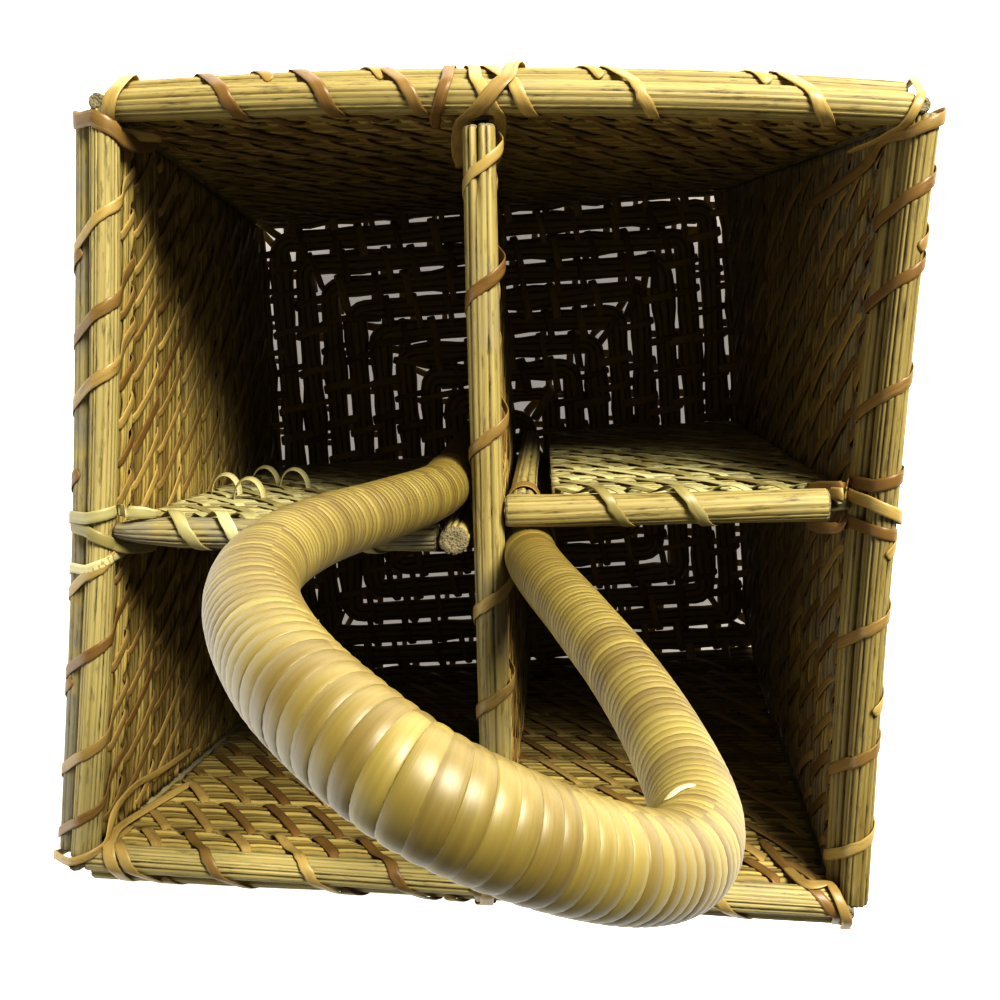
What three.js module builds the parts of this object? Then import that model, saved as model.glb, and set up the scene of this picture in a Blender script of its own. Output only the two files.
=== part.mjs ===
// A square four-bottle caddy of reed bundles lashed with cane, with a wound pole handle.
// Millimetres, +Z up, north is +Y. The origin is on the underside of the base, at the start of its coil.
import * as THREE from "three";

// Outside of the basket
const RIM_WIDTH = 200;
const RIM_LENGTH = 199;
const RIM_HEIGHT = 180;

// Reeds, bundles and cane
const REED = 7.2;
const DIVIDER_ROD = 7.8;
const RIM_STEP = 1.8;
const BUNDLE_THICKNESS = 5.6;
const ROW_PITCH = 8;
const GROOVE_DEPTH = 0.9;
const CANE_WIDTH = 3.6;
const CANE_THICKNESS = 0.9;
const SEAT_GAP = 0.3;
const LEG_CLEARANCE = 1.2;

// Base: one bundle laid in a square spiral
const COIL_PITCH = 9.5;
const COIL_WIDTH = 7.6;
const COIL_HEIGHT = 6.5;
const COIL_FLAT_DEPTH = 0.5;
const COIL_CORNER_RADIUS = 4.3;
const COIL_START = -0.4;
const COIL_SIDES = 8;

// Dividers: how far each stands off the middle, and how far it is turned at the rim
const LONG_DIVIDER_OFFSET = 1.8;
const LONG_DIVIDER_TURN = 4.8;
const EAST_DIVIDER_OFFSET = 1.4;
const EAST_DIVIDER_TURN = 2.7;
const WEST_DIVIDER_OFFSET = -5.3;
const WEST_DIVIDER_TURN = 1.1;
const ROD_SETBACK = 2.5;
const EAST_ROD_SETBACK = 7;

// Handle: a bent pole wound with cane
const POLE_DIAMETER = 10.8;
const WINDING_THICKNESS = 0.9;
const WINDING_PITCH = 3.5;
const WINDING_TURNS = 22;
const WINDING_GAP = 0.6;
const HANDLE_RISE = 152;
const HANDLE_SPREAD = 71;
const HANDLE_TURN = -23;
const WEST_LEG_NORTH = 6.6;
const SLEEVE_DEPTH = 14;
const BINDING_DEPTH = 21;

// Hand-made lean: the base is turned under the rim, and the rim is out of square
const BASE_TURN = 6.7;
const RIM_SHEAR = 1.5;
const SOUTH_FLARE = 2.6;
const EAST_FLARE = 1.7;
const NORTH_BOW = 3.5;
const EAST_PINCH = 2;
const WEST_PINCH = 1.7;

// Cane over the corners and over the dividers' ends; the low angle is in degrees from level
const CORNER_REACH = 14;
const CORNER_DRIFT = 6;
const CORNER_TAIL = 22;
const END_REACH = 9;
const END_SPREAD_ROOM = 2.6;
const LASH_LOW = -10;
const WRAP_ADVANCE = 14;
const WRAP_GAP = 1;

// Places of the cane wraps: nought is beside what stands in the middle, one beside the corner or end.
// Those of the sides run clockwise, those of the rods south or east.
const NORTH_WRAPS = [-0.97, -0.48, -0.04, 0.41, 0.98];
const EAST_WRAPS = [-0.88, -0.31, 0.27, 0.66, 0.98];
const SOUTH_WRAPS = [-0.97, -0.26, 0.15, 0.53, 0.92];
const WEST_WRAPS = [-0.97, -0.38, 0.04, 0.39, 0.7, 0.98];
const LONG_ROD_WRAPS = [-0.97, -0.58, -0.02, 0.04, 0.52, 0.92];
const EAST_ROD_WRAPS = [-0.68, 0.37];
const WEST_ROD_WRAPS = [-0.97, -0.07, 0.92];

// Facets: degrees a step round a reed, how closely the ends of a straight reach are placed, and counts
const ROUND_STEP = 45;
const TANGENT_STEP = 0.5;
const WINDING_STEPS = 14;
const REED_SIDES = 8;
const POLE_SIDES = 10;
const RIM_STEPS = 8;
const WALL_STEPS = 3;
const DIVIDER_STEPS = 2;
const ROD_STEPS = 4;
const POST_STEPS = 8;
const LEG_STEPS = 3;
const SLEEVE_STEPS = 13;
const CURVE_SAMPLES = 600;

// Worked out from the driving dimensions
const rimOuterX = RIM_WIDTH / 2 - REED / 2;
const rimOuterY = RIM_LENGTH / 2 - REED / 2;
const wallAxisX = rimOuterX - RIM_STEP;
const wallAxisY = rimOuterY - RIM_STEP;
const caneStandoff = SEAT_GAP + CANE_THICKNESS / 2;
const facetReach = 1 / Math.cos(THREE.MathUtils.degToRad(ROUND_STEP / 2));
const canePassage = (DIVIDER_ROD / 2 + caneStandoff) * facetReach + caneStandoff - DIVIDER_ROD / 2;
const highReedZ = RIM_HEIGHT - REED / 2;
const lowReedZ = highReedZ - Math.sqrt((REED + SEAT_GAP) ** 2 - RIM_STEP ** 2);
const wallFoot = COIL_HEIGHT + SEAT_GAP;
const wallTop = lowReedZ - REED / 2 - canePassage;
const rodZ = RIM_HEIGHT - DIVIDER_ROD / 2;
const dividerTop = RIM_HEIGHT - DIVIDER_ROD - canePassage;
const endSpread = DIVIDER_ROD / 2 + END_SPREAD_ROOM;
const wrapRoom = (WRAP_ADVANCE + CANE_WIDTH) / 2 + WRAP_GAP;
const wrapRoomOnTop = WRAP_ADVANCE / 4 + CANE_WIDTH / 2 + WRAP_GAP;
const cornerRoom = CORNER_REACH + (CORNER_DRIFT + CANE_WIDTH) / 2 + wrapRoom;
const endRoom = END_REACH + CANE_WIDTH / 2 + wrapRoom;
const windingRadius = POLE_DIAMETER / 2 + SEAT_GAP + WINDING_THICKNESS;
const rimInnerX = wallAxisX - REED / 2;
const rimInnerY = wallAxisY - REED / 2;
const eastPostX = LONG_DIVIDER_OFFSET + BUNDLE_THICKNESS / 2 + canePassage + REED / 2;
const westPostX = LONG_DIVIDER_OFFSET - BUNDLE_THICKNESS / 2 - canePassage - REED / 2;
const bindingReach = (POLE_DIAMETER / 2 + caneStandoff) * facetReach + CANE_THICKNESS / 2;
const bindingRoom = (POLE_DIAMETER - REED) / 2 + canePassage;
const eastPanelStart = eastPostX + REED / 2 + bindingRoom;
const westPanelEnd = westPostX - REED / 2 - bindingRoom;
const legRoom = WEST_LEG_NORTH + windingRadius + wrapRoomOnTop;
const up = new THREE.Vector3(0, 0, 1);

const reedFinish = { color: 0xc9b45a, roughness: 0.6, metalness: 0 };
const bundleFinish = { color: 0xb9a24e, roughness: 0.65, metalness: 0 };
const caneFinish = { color: 0xc49a60, roughness: 0.5, metalness: 0 };
const poleFinish = { color: 0x8a6a35, roughness: 0.6, metalness: 0 };
const windingFinish = { color: 0xdcc068, roughness: 0.35, metalness: 0 };

// The four sides of the basket. Along runs clockwise seen from above, so out x up = along.
const sides = {
  north: side(0, 1, rimOuterY, wallAxisY, wallAxisX, true),
  east: side(1, 0, rimOuterX, wallAxisX, wallAxisY, false),
  south: side(0, -1, rimOuterY, wallAxisY, wallAxisX, true),
  west: side(-1, 0, rimOuterX, wallAxisX, wallAxisY, true),
};

function side(outX, outY, rimOuter, wallAxis, crossAxis, innerReedIsHigh) {
  const out = new THREE.Vector3(outX, outY, 0);
  const along = new THREE.Vector3().crossVectors(out, up);
  const wallEnd = crossAxis - BUNDLE_THICKNESS / 2 - SEAT_GAP;
  const reedEnd = crossAxis - REED / 2 - SEAT_GAP;
  return { out, along, rimOuter, wallAxis, wallEnd, reedEnd, innerReedIsHigh };
}

// A point of a side's own frame: along it, outwards from the middle, and up
function onSide({ out, along }, a, o, z) {
  return new THREE.Vector3(0, 0, z).addScaledVector(along, a).addScaledVector(out, o);
}

// Turns a square-laid point as the hands of the maker left it
function lean(point, ownTurn = 0) {
  const rimShare = Math.min(Math.max(point.z, 0), RIM_HEIGHT) / RIM_HEIGHT;
  const turned = point.clone().applyAxisAngle(up, THREE.MathUtils.degToRad(ownTurn * rimShare));
  const x = turned.x / (RIM_WIDTH / 2);
  const y = turned.y / (RIM_LENGTH / 2);
  const northBow = NORTH_BOW * Math.max(y, 0) ** 2 * (1 - x * x);
  const eastPinch = EAST_PINCH * Math.max(x, 0) ** 2 * (1 - y * y);
  const westPinch = WEST_PINCH * Math.max(-x, 0) ** 2 * (1 - y * y);
  turned.x += rimShare * (RIM_SHEAR * y - eastPinch + westPinch) - SOUTH_FLARE * x * y;
  turned.y += rimShare * (RIM_SHEAR * x + EAST_FLARE * x * y + northBow);
  return turned.applyAxisAngle(up, THREE.MathUtils.degToRad(BASE_TURN * (1 - rimShare)));
}

function leanGeometry(geometry, ownTurn) {
  const position = geometry.getAttribute("position");
  const point = new THREE.Vector3();
  for (let i = 0; i < position.count; i += 1) {
    point.fromBufferAttribute(position, i);
    const leaned = lean(point, ownTurn);
    position.setXYZ(i, leaned.x, leaned.y, leaned.z);
  }
  return geometry;
}

const caddy = new THREE.Group();

function addPiece(name, geometry, finish) {
  geometry.deleteAttribute("normal");
  geometry.deleteAttribute("uv");
  const mesh = new THREE.Mesh(geometry, new THREE.MeshStandardMaterial(finish));
  mesh.name = name;
  caddy.add(mesh);
}

function addLeaned(name, geometry, finish, ownTurn = 0) {
  addPiece(name, leanGeometry(geometry, ownTurn), finish);
}

// Closes a run of rings into one body. Each ring turns counter-clockwise about the run's direction.
function skin(rings, closed = false) {
  const count = rings[0].length;
  const vertices = rings.flat().flatMap((point) => point.toArray());
  const faces = [];
  const last = closed ? rings.length : rings.length - 1;
  for (let i = 0; i < last; i += 1) {
    const here = i * count;
    const next = ((i + 1) % rings.length) * count;
    for (let j = 0; j < count; j += 1) {
      const k = (j + 1) % count;
      faces.push(here + j, here + k, next + k, here + j, next + k, next + j);
    }
  }
  if (!closed) {
    const end = (rings.length - 1) * count;
    for (let j = 1; j < count - 1; j += 1) {
      faces.push(0, j + 1, j, end, end + j, end + j + 1);
    }
  }
  const geometry = new THREE.BufferGeometry();
  geometry.setAttribute("position", new THREE.Float32BufferAttribute(vertices, 3));
  geometry.setIndex(faces);
  return geometry;
}

// The least gap a run keeps to itself, measured on points of rings at least so many rings apart
function leastGap(rings, apart, between = 1) {
  const sections = rings.slice(0, -1).flatMap((ring, i) => (
    Array.from({ length: between }, (_, step) => (
      ring.map((point, j) => point.clone().lerp(rings[i + 1][j], step / between))))));
  let least = Infinity;
  sections.forEach((section, i) => {
    for (const other of sections.slice(i + apart * between).flat()) {
      for (const point of section) {
        least = Math.min(least, point.distanceToSquared(other));
      }
    }
  });
  return Math.sqrt(least);
}

function printLeastGap(name, rings, apart, between) {
  console.log(`${name}: least gap to itself ${leastGap(rings, apart, between).toFixed(2)} mm`);
}

// The rings of a flat strip through places, each a point and the way its face looks
function stripRings(places, widthAt, thickness, closed = false) {
  const count = places.length;
  return places.map(({ point, face }, i) => {
    const before = places[closed ? (i + count - 1) % count : Math.max(i - 1, 0)].point;
    const after = places[closed ? (i + 1) % count : Math.min(i + 1, count - 1)].point;
    const forward = after.clone().sub(before).normalize();
    const across = new THREE.Vector3().crossVectors(face, forward).normalize();
    const outward = new THREE.Vector3().crossVectors(forward, across);
    const halfWidth = widthAt(i) / 2;
    return [[1, 1], [-1, 1], [-1, -1], [1, -1]].map(([w, t]) => point.clone()
      .addScaledVector(across, w * halfWidth).addScaledVector(outward, t * thickness / 2));
  });
}

const caneRings = (places, closed) => stripRings(places, () => CANE_WIDTH, CANE_THICKNESS, closed);

// A round reed between two points of a side's frame
function reed(diameter, from, to, steps) {
  const length = from.distanceTo(to);
  const geometry = new THREE.CylinderGeometry(diameter / 2, diameter / 2, length, REED_SIDES, steps);
  const direction = to.clone().sub(from).normalize();
  geometry.applyQuaternion(new THREE.Quaternion().setFromUnitVectors(new THREE.Vector3(0, 1, 0), direction));
  const middle = from.clone().add(to).multiplyScalar(0.5);
  return geometry.translate(middle.x, middle.y, middle.z);
}

// A panel of stacked bundles: its section is a row of ridges, drawn out along the panel
function ribbedPanel(frame, from, to, offset, foot, top, steps) {
  const rows = Math.round((top - foot) / ROW_PITCH);
  const pitch = (top - foot) / rows;
  const ridge = BUNDLE_THICKNESS / 2;
  const groove = ridge - GROOVE_DEPTH;
  const outline = [[groove, foot]];
  for (let row = 0; row < rows; row += 1) {
    outline.push([ridge, foot + (row + 0.5) * pitch], [groove, foot + (row + 1) * pitch]);
  }
  const back = outline.map(([x, y]) => [-x, y]).reverse();
  const shape = new THREE.Shape([...outline, ...back].map(([x, y]) => new THREE.Vector2(x, y)));
  const length = to - from;
  const geometry = new THREE.ExtrudeGeometry(shape, { depth: length, steps, bevelEnabled: false });
  const basis = new THREE.Matrix4().makeBasis(frame.out, up, frame.along);
  const start = onSide(frame, from, offset, 0);
  return geometry.applyMatrix4(basis).translate(start.x, start.y, start.z);
}

// The ways that cane faces as it is pulled round one or two reeds, seen end on as circles. Where it
// crosses from one reed to the other, both ends of its straight reach are kept.
function tautAngles(circles, from, to) {
  const angles = stations(from, to, Math.ceil(Math.abs(to - from) / ROUND_STEP));
  if (circles.length === 2) {
    const [first, second] = circles;
    const bearing = Math.atan2(second.v - first.v, second.u - first.u);
    const opening = Math.acos((first.radius - second.radius)
      / Math.hypot(second.u - first.u, second.v - first.v));
    for (const change of [bearing - opening, bearing + opening]) {
      for (const turn of [-360, 0, 360]) {
        const angle = THREE.MathUtils.radToDeg(change) + turn;
        if (angle > Math.min(from, to) && angle < Math.max(from, to)) {
          angles.push(angle - TANGENT_STEP, angle + TANGENT_STEP);
        }
      }
    }
  }
  return angles.sort((a, b) => (to > from ? a - b : b - a));
}

// Where cane round those circles lies when it faces the given way
function tautPoint(circles, degrees) {
  const angle = THREE.MathUtils.degToRad(degrees);
  const u = Math.cos(angle);
  const v = Math.sin(angle);
  const reach = (circle) => circle.u * u + circle.v * v + circle.radius;
  const circle = circles.reduce((best, other) => (reach(other) > reach(best) ? other : best));
  const standoff = (circle.radius + caneStandoff) * facetReach;
  return { u, v, pointU: circle.u + u * standoff, pointV: circle.v + v * standoff };
}

// Where cane on the reeds of a side lies, so far along it, when it faces the given way
function roundAt(frame, circles, a, degrees) {
  const { u, v, pointU, pointV } = tautPoint(circles, degrees);
  return { point: onSide(frame, a, pointU, pointV), face: onSide(frame, 0, u, v) };
}

// Cane swept round the reeds of a side while it drifts along them
function sweepRound(frame, circles, aFrom, aTo, from, to) {
  return tautAngles(circles, from, to).map((degrees) => (
    roundAt(frame, circles, aFrom + ((degrees - from) / (to - from)) * (aTo - aFrom), degrees)));
}

// Places between two ends that leave room about the middle
function wrapPlaces(shares, low, middle, room, high) {
  return shares.map((share) => (share < 0
    ? THREE.MathUtils.lerp(middle - room, low, -share)
    : THREE.MathUtils.lerp(middle + room, high, share)));
}

// Cane that lies under a reed and comes up round it once at each wrap
function addLacing(name, frame, circles, wraps, ownTurn) {
  const half = WRAP_ADVANCE / 2;
  const rings = caneRings(wraps.flatMap((wrap) => (
    sweepRound(frame, circles, wrap - half, wrap + half, -90, 270))));
  const ringsAcross = 4;
  printLeastGap(name, rings, ringsAcross);
  addLeaned(name, skin(rings), caneFinish, ownTurn);
}

// Rim reeds: the high one over the low one, a step apart
function rimReeds({ rimOuter, innerReedIsHigh }) {
  const outerZ = innerReedIsHigh ? lowReedZ : highReedZ;
  const innerZ = innerReedIsHigh ? highReedZ : lowReedZ;
  return [
    { u: rimOuter, v: outerZ, radius: REED / 2 },
    { u: rimOuter - RIM_STEP, v: innerZ, radius: REED / 2 },
  ];
}

// Where a turned divider meets the rim, along that rim, as far out as a point of the divider
function dividerMiddle({ offset, turn }, o) {
  return offset - o * Math.sin(THREE.MathUtils.degToRad(turn));
}

function addSide(name, frame, wraps, divider) {
  const [outer, inner] = rimReeds(frame);
  const rimReed = ({ u, v }) => reed(REED, onSide(frame, -frame.reedEnd, u, v),
    onSide(frame, frame.reedEnd, u, v), RIM_STEPS);
  addLeaned(`rim_reed_${name}_outer`, rimReed(outer), reedFinish);
  addLeaned(`rim_reed_${name}_inner`, rimReed(inner), reedFinish);
  const free = frame.wallEnd - cornerRoom;
  const places = wrapPlaces(wraps, -free, dividerMiddle(divider, frame.rimOuter),
    endSpread + CANE_WIDTH / 2 + wrapRoomOnTop, free);
  addLacing(`rim_lacing_${name}`, frame, [outer, inner], places);
  addLeaned(`wall_${name}`, ribbedPanel(frame, -frame.wallEnd, frame.wallEnd, frame.wallAxis,
    wallFoot, wallTop, WALL_STEPS), bundleFinish);
}

// Corner post, and the cane that runs over both rims round it
function addCorner(name, before, after) {
  const postOffset = SEAT_GAP + REED / 2;
  const postA = before.wallEnd + postOffset;
  const postO = after.wallEnd + postOffset;
  addLeaned(`corner_post_${name}`, reed(REED, onSide(before, postA, postO, wallFoot),
    onSide(before, postA, postO, RIM_HEIGHT), POST_STEPS), reedFinish);

  const beforeRim = rimReeds(before);
  const afterRim = rimReeds(after);
  const corner = new THREE.Vector3().addVectors(before.out, after.out).normalize();
  const post = onSide(before, postA, postO, (beforeRim[0].v + afterRim[0].v) / 2);
  const round = post.addScaledVector(corner, REED / 2 + caneStandoff + RIM_STEP);
  const inside = (frame, a) => ({
    point: onSide(frame, a, frame.wallAxis - BUNDLE_THICKNESS / 2 - caneStandoff, wallTop - CORNER_TAIL),
    face: frame.out.clone().negate(),
  });
  const end = before.wallEnd;
  const start = -after.wallEnd;
  addLeaned(`corner_lashing_${name}`, skin(caneRings([
    inside(before, end - CORNER_REACH - CORNER_DRIFT / 2),
    ...sweepRound(before, beforeRim, end - CORNER_REACH, end - CORNER_REACH + CORNER_DRIFT, 180, 0),
    roundAt(before, beforeRim, end, 0),
    { point: round, face: corner },
    roundAt(after, afterRim, start, 0),
    ...sweepRound(after, afterRim, start + CORNER_REACH - CORNER_DRIFT, start + CORNER_REACH, 0, 180),
    inside(after, start + CORNER_REACH + CORNER_DRIFT / 2),
  ])), caneFinish);
}

// A divider with its rod and the lacing that ties the rod down
function addDivider(name, frame, ownTurn, { offset, from, to, rodFrom, rodTo, wraps, middleRoom }) {
  const rod = [{ u: offset, v: rodZ, radius: DIVIDER_ROD / 2 }];
  addLeaned(`divider_${name}`, ribbedPanel(frame, from, to, offset, wallFoot, dividerTop,
    DIVIDER_STEPS), bundleFinish, ownTurn);
  addLeaned(`divider_rod_${name}`, reed(DIVIDER_ROD, onSide(frame, rodFrom, offset, rodZ),
    onSide(frame, rodTo, offset, rodZ), ROD_STEPS), reedFinish, ownTurn);
  const places = wrapPlaces(wraps, rodFrom + endRoom, (rodFrom + rodTo) / 2, middleRoom, rodTo - endRoom);
  addLacing(`divider_lacing_${name}`, frame, rod, places, ownTurn);
}

// Cane that ties a divider's end to the rim: up one side of the rod, over, and back down the other
function addEndLashing(name, frame, divider) {
  const reeds = rimReeds(frame);
  const innerEdge = frame.rimOuter - RIM_STEP - REED / 2;
  const rimMiddle = dividerMiddle(divider, innerEdge);
  const tailMiddle = dividerMiddle(divider, innerEdge - END_REACH);
  const rodSide = DIVIDER_ROD / 2 + 2 * caneStandoff;
  const end = (direction) => ({
    point: onSide(frame, tailMiddle + direction * rodSide, innerEdge - END_REACH, rodZ),
    face: onSide(frame, direction, 0, 0),
  });
  addLeaned(`end_lashing_${name}`, skin(caneRings([
    end(-1),
    ...sweepRound(frame, reeds, rimMiddle - endSpread, rimMiddle - endSpread / 2, 180, LASH_LOW),
    ...sweepRound(frame, reeds, rimMiddle + endSpread / 2, rimMiddle + endSpread, LASH_LOW, 180),
    end(1),
  ])), caneFinish);
}

// Base: straight stretches with rounded corners, from the middle out to under the walls
function coilPath() {
  const turns = Math.round(wallAxisX / COIL_PITCH);
  const pitchX = wallAxisX / turns;
  const pitchY = wallAxisY / turns;
  const corners = [[COIL_START, 0]];
  for (let turn = 1; turn <= turns; turn += 1) {
    corners.push([turn, 1 - turn], [turn, turn], [-turn, turn], [-turn, -turn]);
  }
  corners.push([turns, -turns]);
  return corners.map(([x, y]) => new THREE.Vector3(x * pitchX, y * pitchY, 0));
}

// An upright oval, cut flat where the basket stands on it
function coilSection() {
  const halfHeight = (COIL_HEIGHT + COIL_FLAT_DEPTH) / 2;
  const cornerReach = 1 / Math.cos(Math.PI / COIL_SIDES);
  return Array.from({ length: COIL_SIDES }, (_, i) => {
    const angle = (2 * Math.PI * (i + 0.5)) / COIL_SIDES;
    const width = (COIL_WIDTH / 2) * cornerReach * Math.cos(angle);
    const height = halfHeight * (1 + cornerReach * Math.sin(angle));
    return [-width, Math.max(height - COIL_FLAT_DEPTH, 0)];
  });
}

function addBaseCoil() {
  const points = coilPath();
  const section = coilSection();
  const rings = [];
  const ring = (point, forward) => {
    const right = new THREE.Vector3().crossVectors(forward, up);
    rings.push(section.map(([w, z]) => point.clone().addScaledVector(right, w).addScaledVector(up, z)));
  };
  points.forEach((corner, i) => {
    const arriving = i > 0 ? corner.clone().sub(points[i - 1]).normalize() : null;
    const leaving = i < points.length - 1 ? points[i + 1].clone().sub(corner).normalize() : null;
    if (!arriving || !leaving) {
      ring(corner, arriving ?? leaving);
      return;
    }
    const centre = corner.clone().addScaledVector(arriving, -COIL_CORNER_RADIUS)
      .addScaledVector(leaving, COIL_CORNER_RADIUS);
    for (const degrees of [0, 45, 90]) {
      const forward = arriving.clone().applyAxisAngle(up, THREE.MathUtils.degToRad(degrees));
      const outward = new THREE.Vector3().crossVectors(forward, up);
      ring(centre.clone().addScaledVector(outward, COIL_CORNER_RADIUS), forward);
    }
  });
  const ringsAcross = 6;
  const pointsBetween = 8;
  const leanedRings = rings.map((corners) => corners.map((corner) => lean(corner)));
  printLeastGap("base_coil", leanedRings, ringsAcross, pointsBetween);
  addLeaned("base_coil", skin(rings), bundleFinish);
}

// Handle route: the legs stand beside the long divider, and the loop opens above the rim
function rodPoint(along, frame, offset, ownTurn) {
  return lean(onSide(frame, along, offset, rodZ), ownTurn);
}

function handleFeet() {
  const besideRod = Math.max(DIVIDER_ROD / 2 + 2 * SEAT_GAP + windingRadius,
    BUNDLE_THICKNESS / 2 + bindingReach + LEG_CLEARANCE);
  const besidePost = REED / 2 + 2 * SEAT_GAP + windingRadius;
  const westRod = rodPoint(-WEST_LEG_NORTH, sides.east, LONG_DIVIDER_OFFSET, LONG_DIVIDER_TURN);
  const west = new THREE.Vector3(westRod.x - besideRod, WEST_LEG_NORTH, 0);
  const shortRod = rodPoint(2 * besideRod, sides.north, EAST_DIVIDER_OFFSET, EAST_DIVIDER_TURN);
  const post = lean(new THREE.Vector3(eastPostX, EAST_DIVIDER_OFFSET, dividerTop), EAST_DIVIDER_TURN);
  const nearRod = rodPoint(besideRod, sides.east, LONG_DIVIDER_OFFSET, LONG_DIVIDER_TURN);
  const sideways = nearRod.x + besideRod - post.x;
  const southOfPost = post.y - Math.sqrt(Math.max(besidePost ** 2 - sideways ** 2, 0));
  const eastY = Math.min(shortRod.y - besideRod - SEAT_GAP, southOfPost);
  const eastRod = rodPoint(-eastY, sides.east, LONG_DIVIDER_OFFSET, LONG_DIVIDER_TURN);
  const east = new THREE.Vector3(eastRod.x + besideRod, eastY, 0);
  return { west, east };
}

// Stations of the loop: shares of the spread along it and across it, and share of the rise
const LOOP_STATIONS = [
  [-0.3, -0.007, 0.23], [-0.395, -0.042, 0.4], [-0.43, -0.056, 0.56], [-0.4, -0.042, 0.705],
  [-0.31, -0.014, 0.84], [-0.17, 0.014, 0.95], [0.03, 0.014, 1], [0.28, -0.014, 0.957],
  [0.487, -0.049, 0.855], [0.57, -0.056, 0.73], [0.54, -0.042, 0.587], [0.453, -0.028, 0.428],
  [0.34, -0.028, 0.256],
];

function handleCurve() {
  const { west, east } = handleFeet();
  const middle = west.clone().add(east).multiplyScalar(0.5);
  const turn = THREE.MathUtils.degToRad(HANDLE_TURN);
  const along = new THREE.Vector3(Math.cos(turn), Math.sin(turn), 0);
  const across = new THREE.Vector3(-Math.sin(turn), Math.cos(turn), 0);
  const station = ([sideways, off, rise]) => middle.clone()
    .addScaledVector(along, sideways * HANDLE_SPREAD)
    .addScaledVector(across, off * HANDLE_SPREAD)
    .setZ(RIM_HEIGHT + rise * HANDLE_RISE);
  const legHeights = [wallFoot, RIM_HEIGHT / 3, RIM_HEIGHT * 2 / 3, RIM_HEIGHT];
  const points = [
    ...legHeights.map((z) => west.clone().setZ(z)),
    ...LOOP_STATIONS.map(station),
    ...legHeights.reverse().map((z) => east.clone().setZ(z)),
  ];
  const curve = new THREE.CatmullRomCurve3(points, false, "centripetal");
  curve.arcLengthDivisions = CURVE_SAMPLES;
  return { curve, across };
}

function stations(from, to, count) {
  return Array.from({ length: count + 1 }, (_, i) => from + ((to - from) * i) / count);
}

function addHandle() {
  const { curve, across } = handleCurve();
  const length = curve.getLength();
  const frameAt = (distance) => {
    const share = Math.min(Math.max(distance / length, 0), 1);
    const point = curve.getPointAt(share);
    const forward = curve.getTangentAt(share);
    const aside = across.clone().addScaledVector(forward, -across.dot(forward)).normalize();
    const outward = new THREE.Vector3().crossVectors(forward, aside);
    return { point, aside, outward };
  };
  const onPole = ({ point, aside, outward }, angle, radius) => point.clone()
    .addScaledVector(aside, Math.cos(angle) * radius).addScaledVector(outward, Math.sin(angle) * radius);
  const circle = (distance, radius) => Array.from({ length: POLE_SIDES }, (_, i) => (
    onPole(frameAt(distance), (2 * Math.PI * i) / POLE_SIDES, radius)));

  // Distances along the pole to a height on either leg, and to the crown
  const distances = stations(0, length, CURVE_SAMPLES);
  const heights = distances.map((distance) => frameAt(distance).point.z);
  const legsAt = (z) => [
    distances[heights.findIndex((height) => height > z)],
    distances[heights.findLastIndex((height) => height > z)],
  ];
  const [westSleeveFoot, eastSleeveFoot] = legsAt(RIM_HEIGHT - SLEEVE_DEPTH);
  const [westTie, eastTie] = legsAt(RIM_HEIGHT - BINDING_DEPTH);
  const crown = distances[heights.indexOf(Math.max(...heights))];

  // Stations down the legs, along each sleeve and over the crown. Pole and sleeves share them.
  const windingStart = crown - (WINDING_TURNS * WINDING_PITCH) / 2;
  const windingEnd = windingStart + WINDING_TURNS * WINDING_PITCH;
  const westSleeve = stations(westSleeveFoot, windingStart - WINDING_PITCH, SLEEVE_STEPS);
  const eastSleeve = stations(windingEnd + WINDING_PITCH, eastSleeveFoot, SLEEVE_STEPS);
  const poleStations = [
    ...stations(0, westTie, LEG_STEPS),
    ...westSleeve,
    ...stations(windingStart, windingEnd, WINDING_TURNS),
    ...eastSleeve,
    ...stations(eastTie, length, LEG_STEPS),
  ];
  addPiece("handle_pole", skin(poleStations.map((distance) => (
    circle(distance, POLE_DIAMETER / 2)))), poleFinish);

  // Winding over the crown: one strip, narrowed where the turns crowd on the inside of the bend
  const count = WINDING_TURNS * WINDING_STEPS;
  const middleRadius = windingRadius - WINDING_THICKNESS / 2;
  const places = Array.from({ length: count + 1 }, (_, i) => {
    const frame = frameAt(windingStart + (WINDING_PITCH * i) / WINDING_STEPS);
    const point = onPole(frame, (2 * Math.PI * i) / WINDING_STEPS, middleRadius);
    return { point, face: point.clone().sub(frame.point).normalize() };
  });
  const turnApart = (i) => {
    const nearest = [i - WINDING_STEPS, i + WINDING_STEPS].filter((j) => j >= 0 && j <= count);
    return Math.min(...nearest.map((j) => places[i].point.distanceTo(places[j].point)));
  };
  const rings = stripRings(places, (i) => turnApart(i) - WINDING_GAP, WINDING_THICKNESS);
  printLeastGap("handle_winding", rings, WINDING_STEPS / 2);
  addPiece("handle_winding", skin(rings), windingFinish);

  // Sleeves: the same winding's outer size on the legs
  const sleeve = (distances) => skin([
    ...distances.map((distance) => circle(distance, windingRadius)),
    ...distances.toReversed().map((distance) => circle(distance, windingRadius - WINDING_THICKNESS)),
  ], true);
  addPiece("handle_sleeve_west", sleeve(westSleeve), windingFinish);
  addPiece("handle_sleeve_east", sleeve(eastSleeve), windingFinish);
  return { west: frameAt(westTie).point, east: frameAt(eastTie).point };
}

// A cane ring pulled tight round a leg and a post
function addLegBinding(name, leg, post) {
  const circles = [
    { u: leg.x, v: leg.y, radius: POLE_DIAMETER / 2 },
    { u: post.x, v: post.y, radius: REED / 2 },
  ];
  const places = tautAngles(circles, 0, 360).slice(0, -1).map((degrees) => {
    const { u, v, pointU, pointV } = tautPoint(circles, degrees);
    return { point: new THREE.Vector3(pointU, pointV, leg.z), face: new THREE.Vector3(u, v, 0) };
  });
  addPiece(name, skin(caneRings(places, true), true), caneFinish);
}

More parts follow.
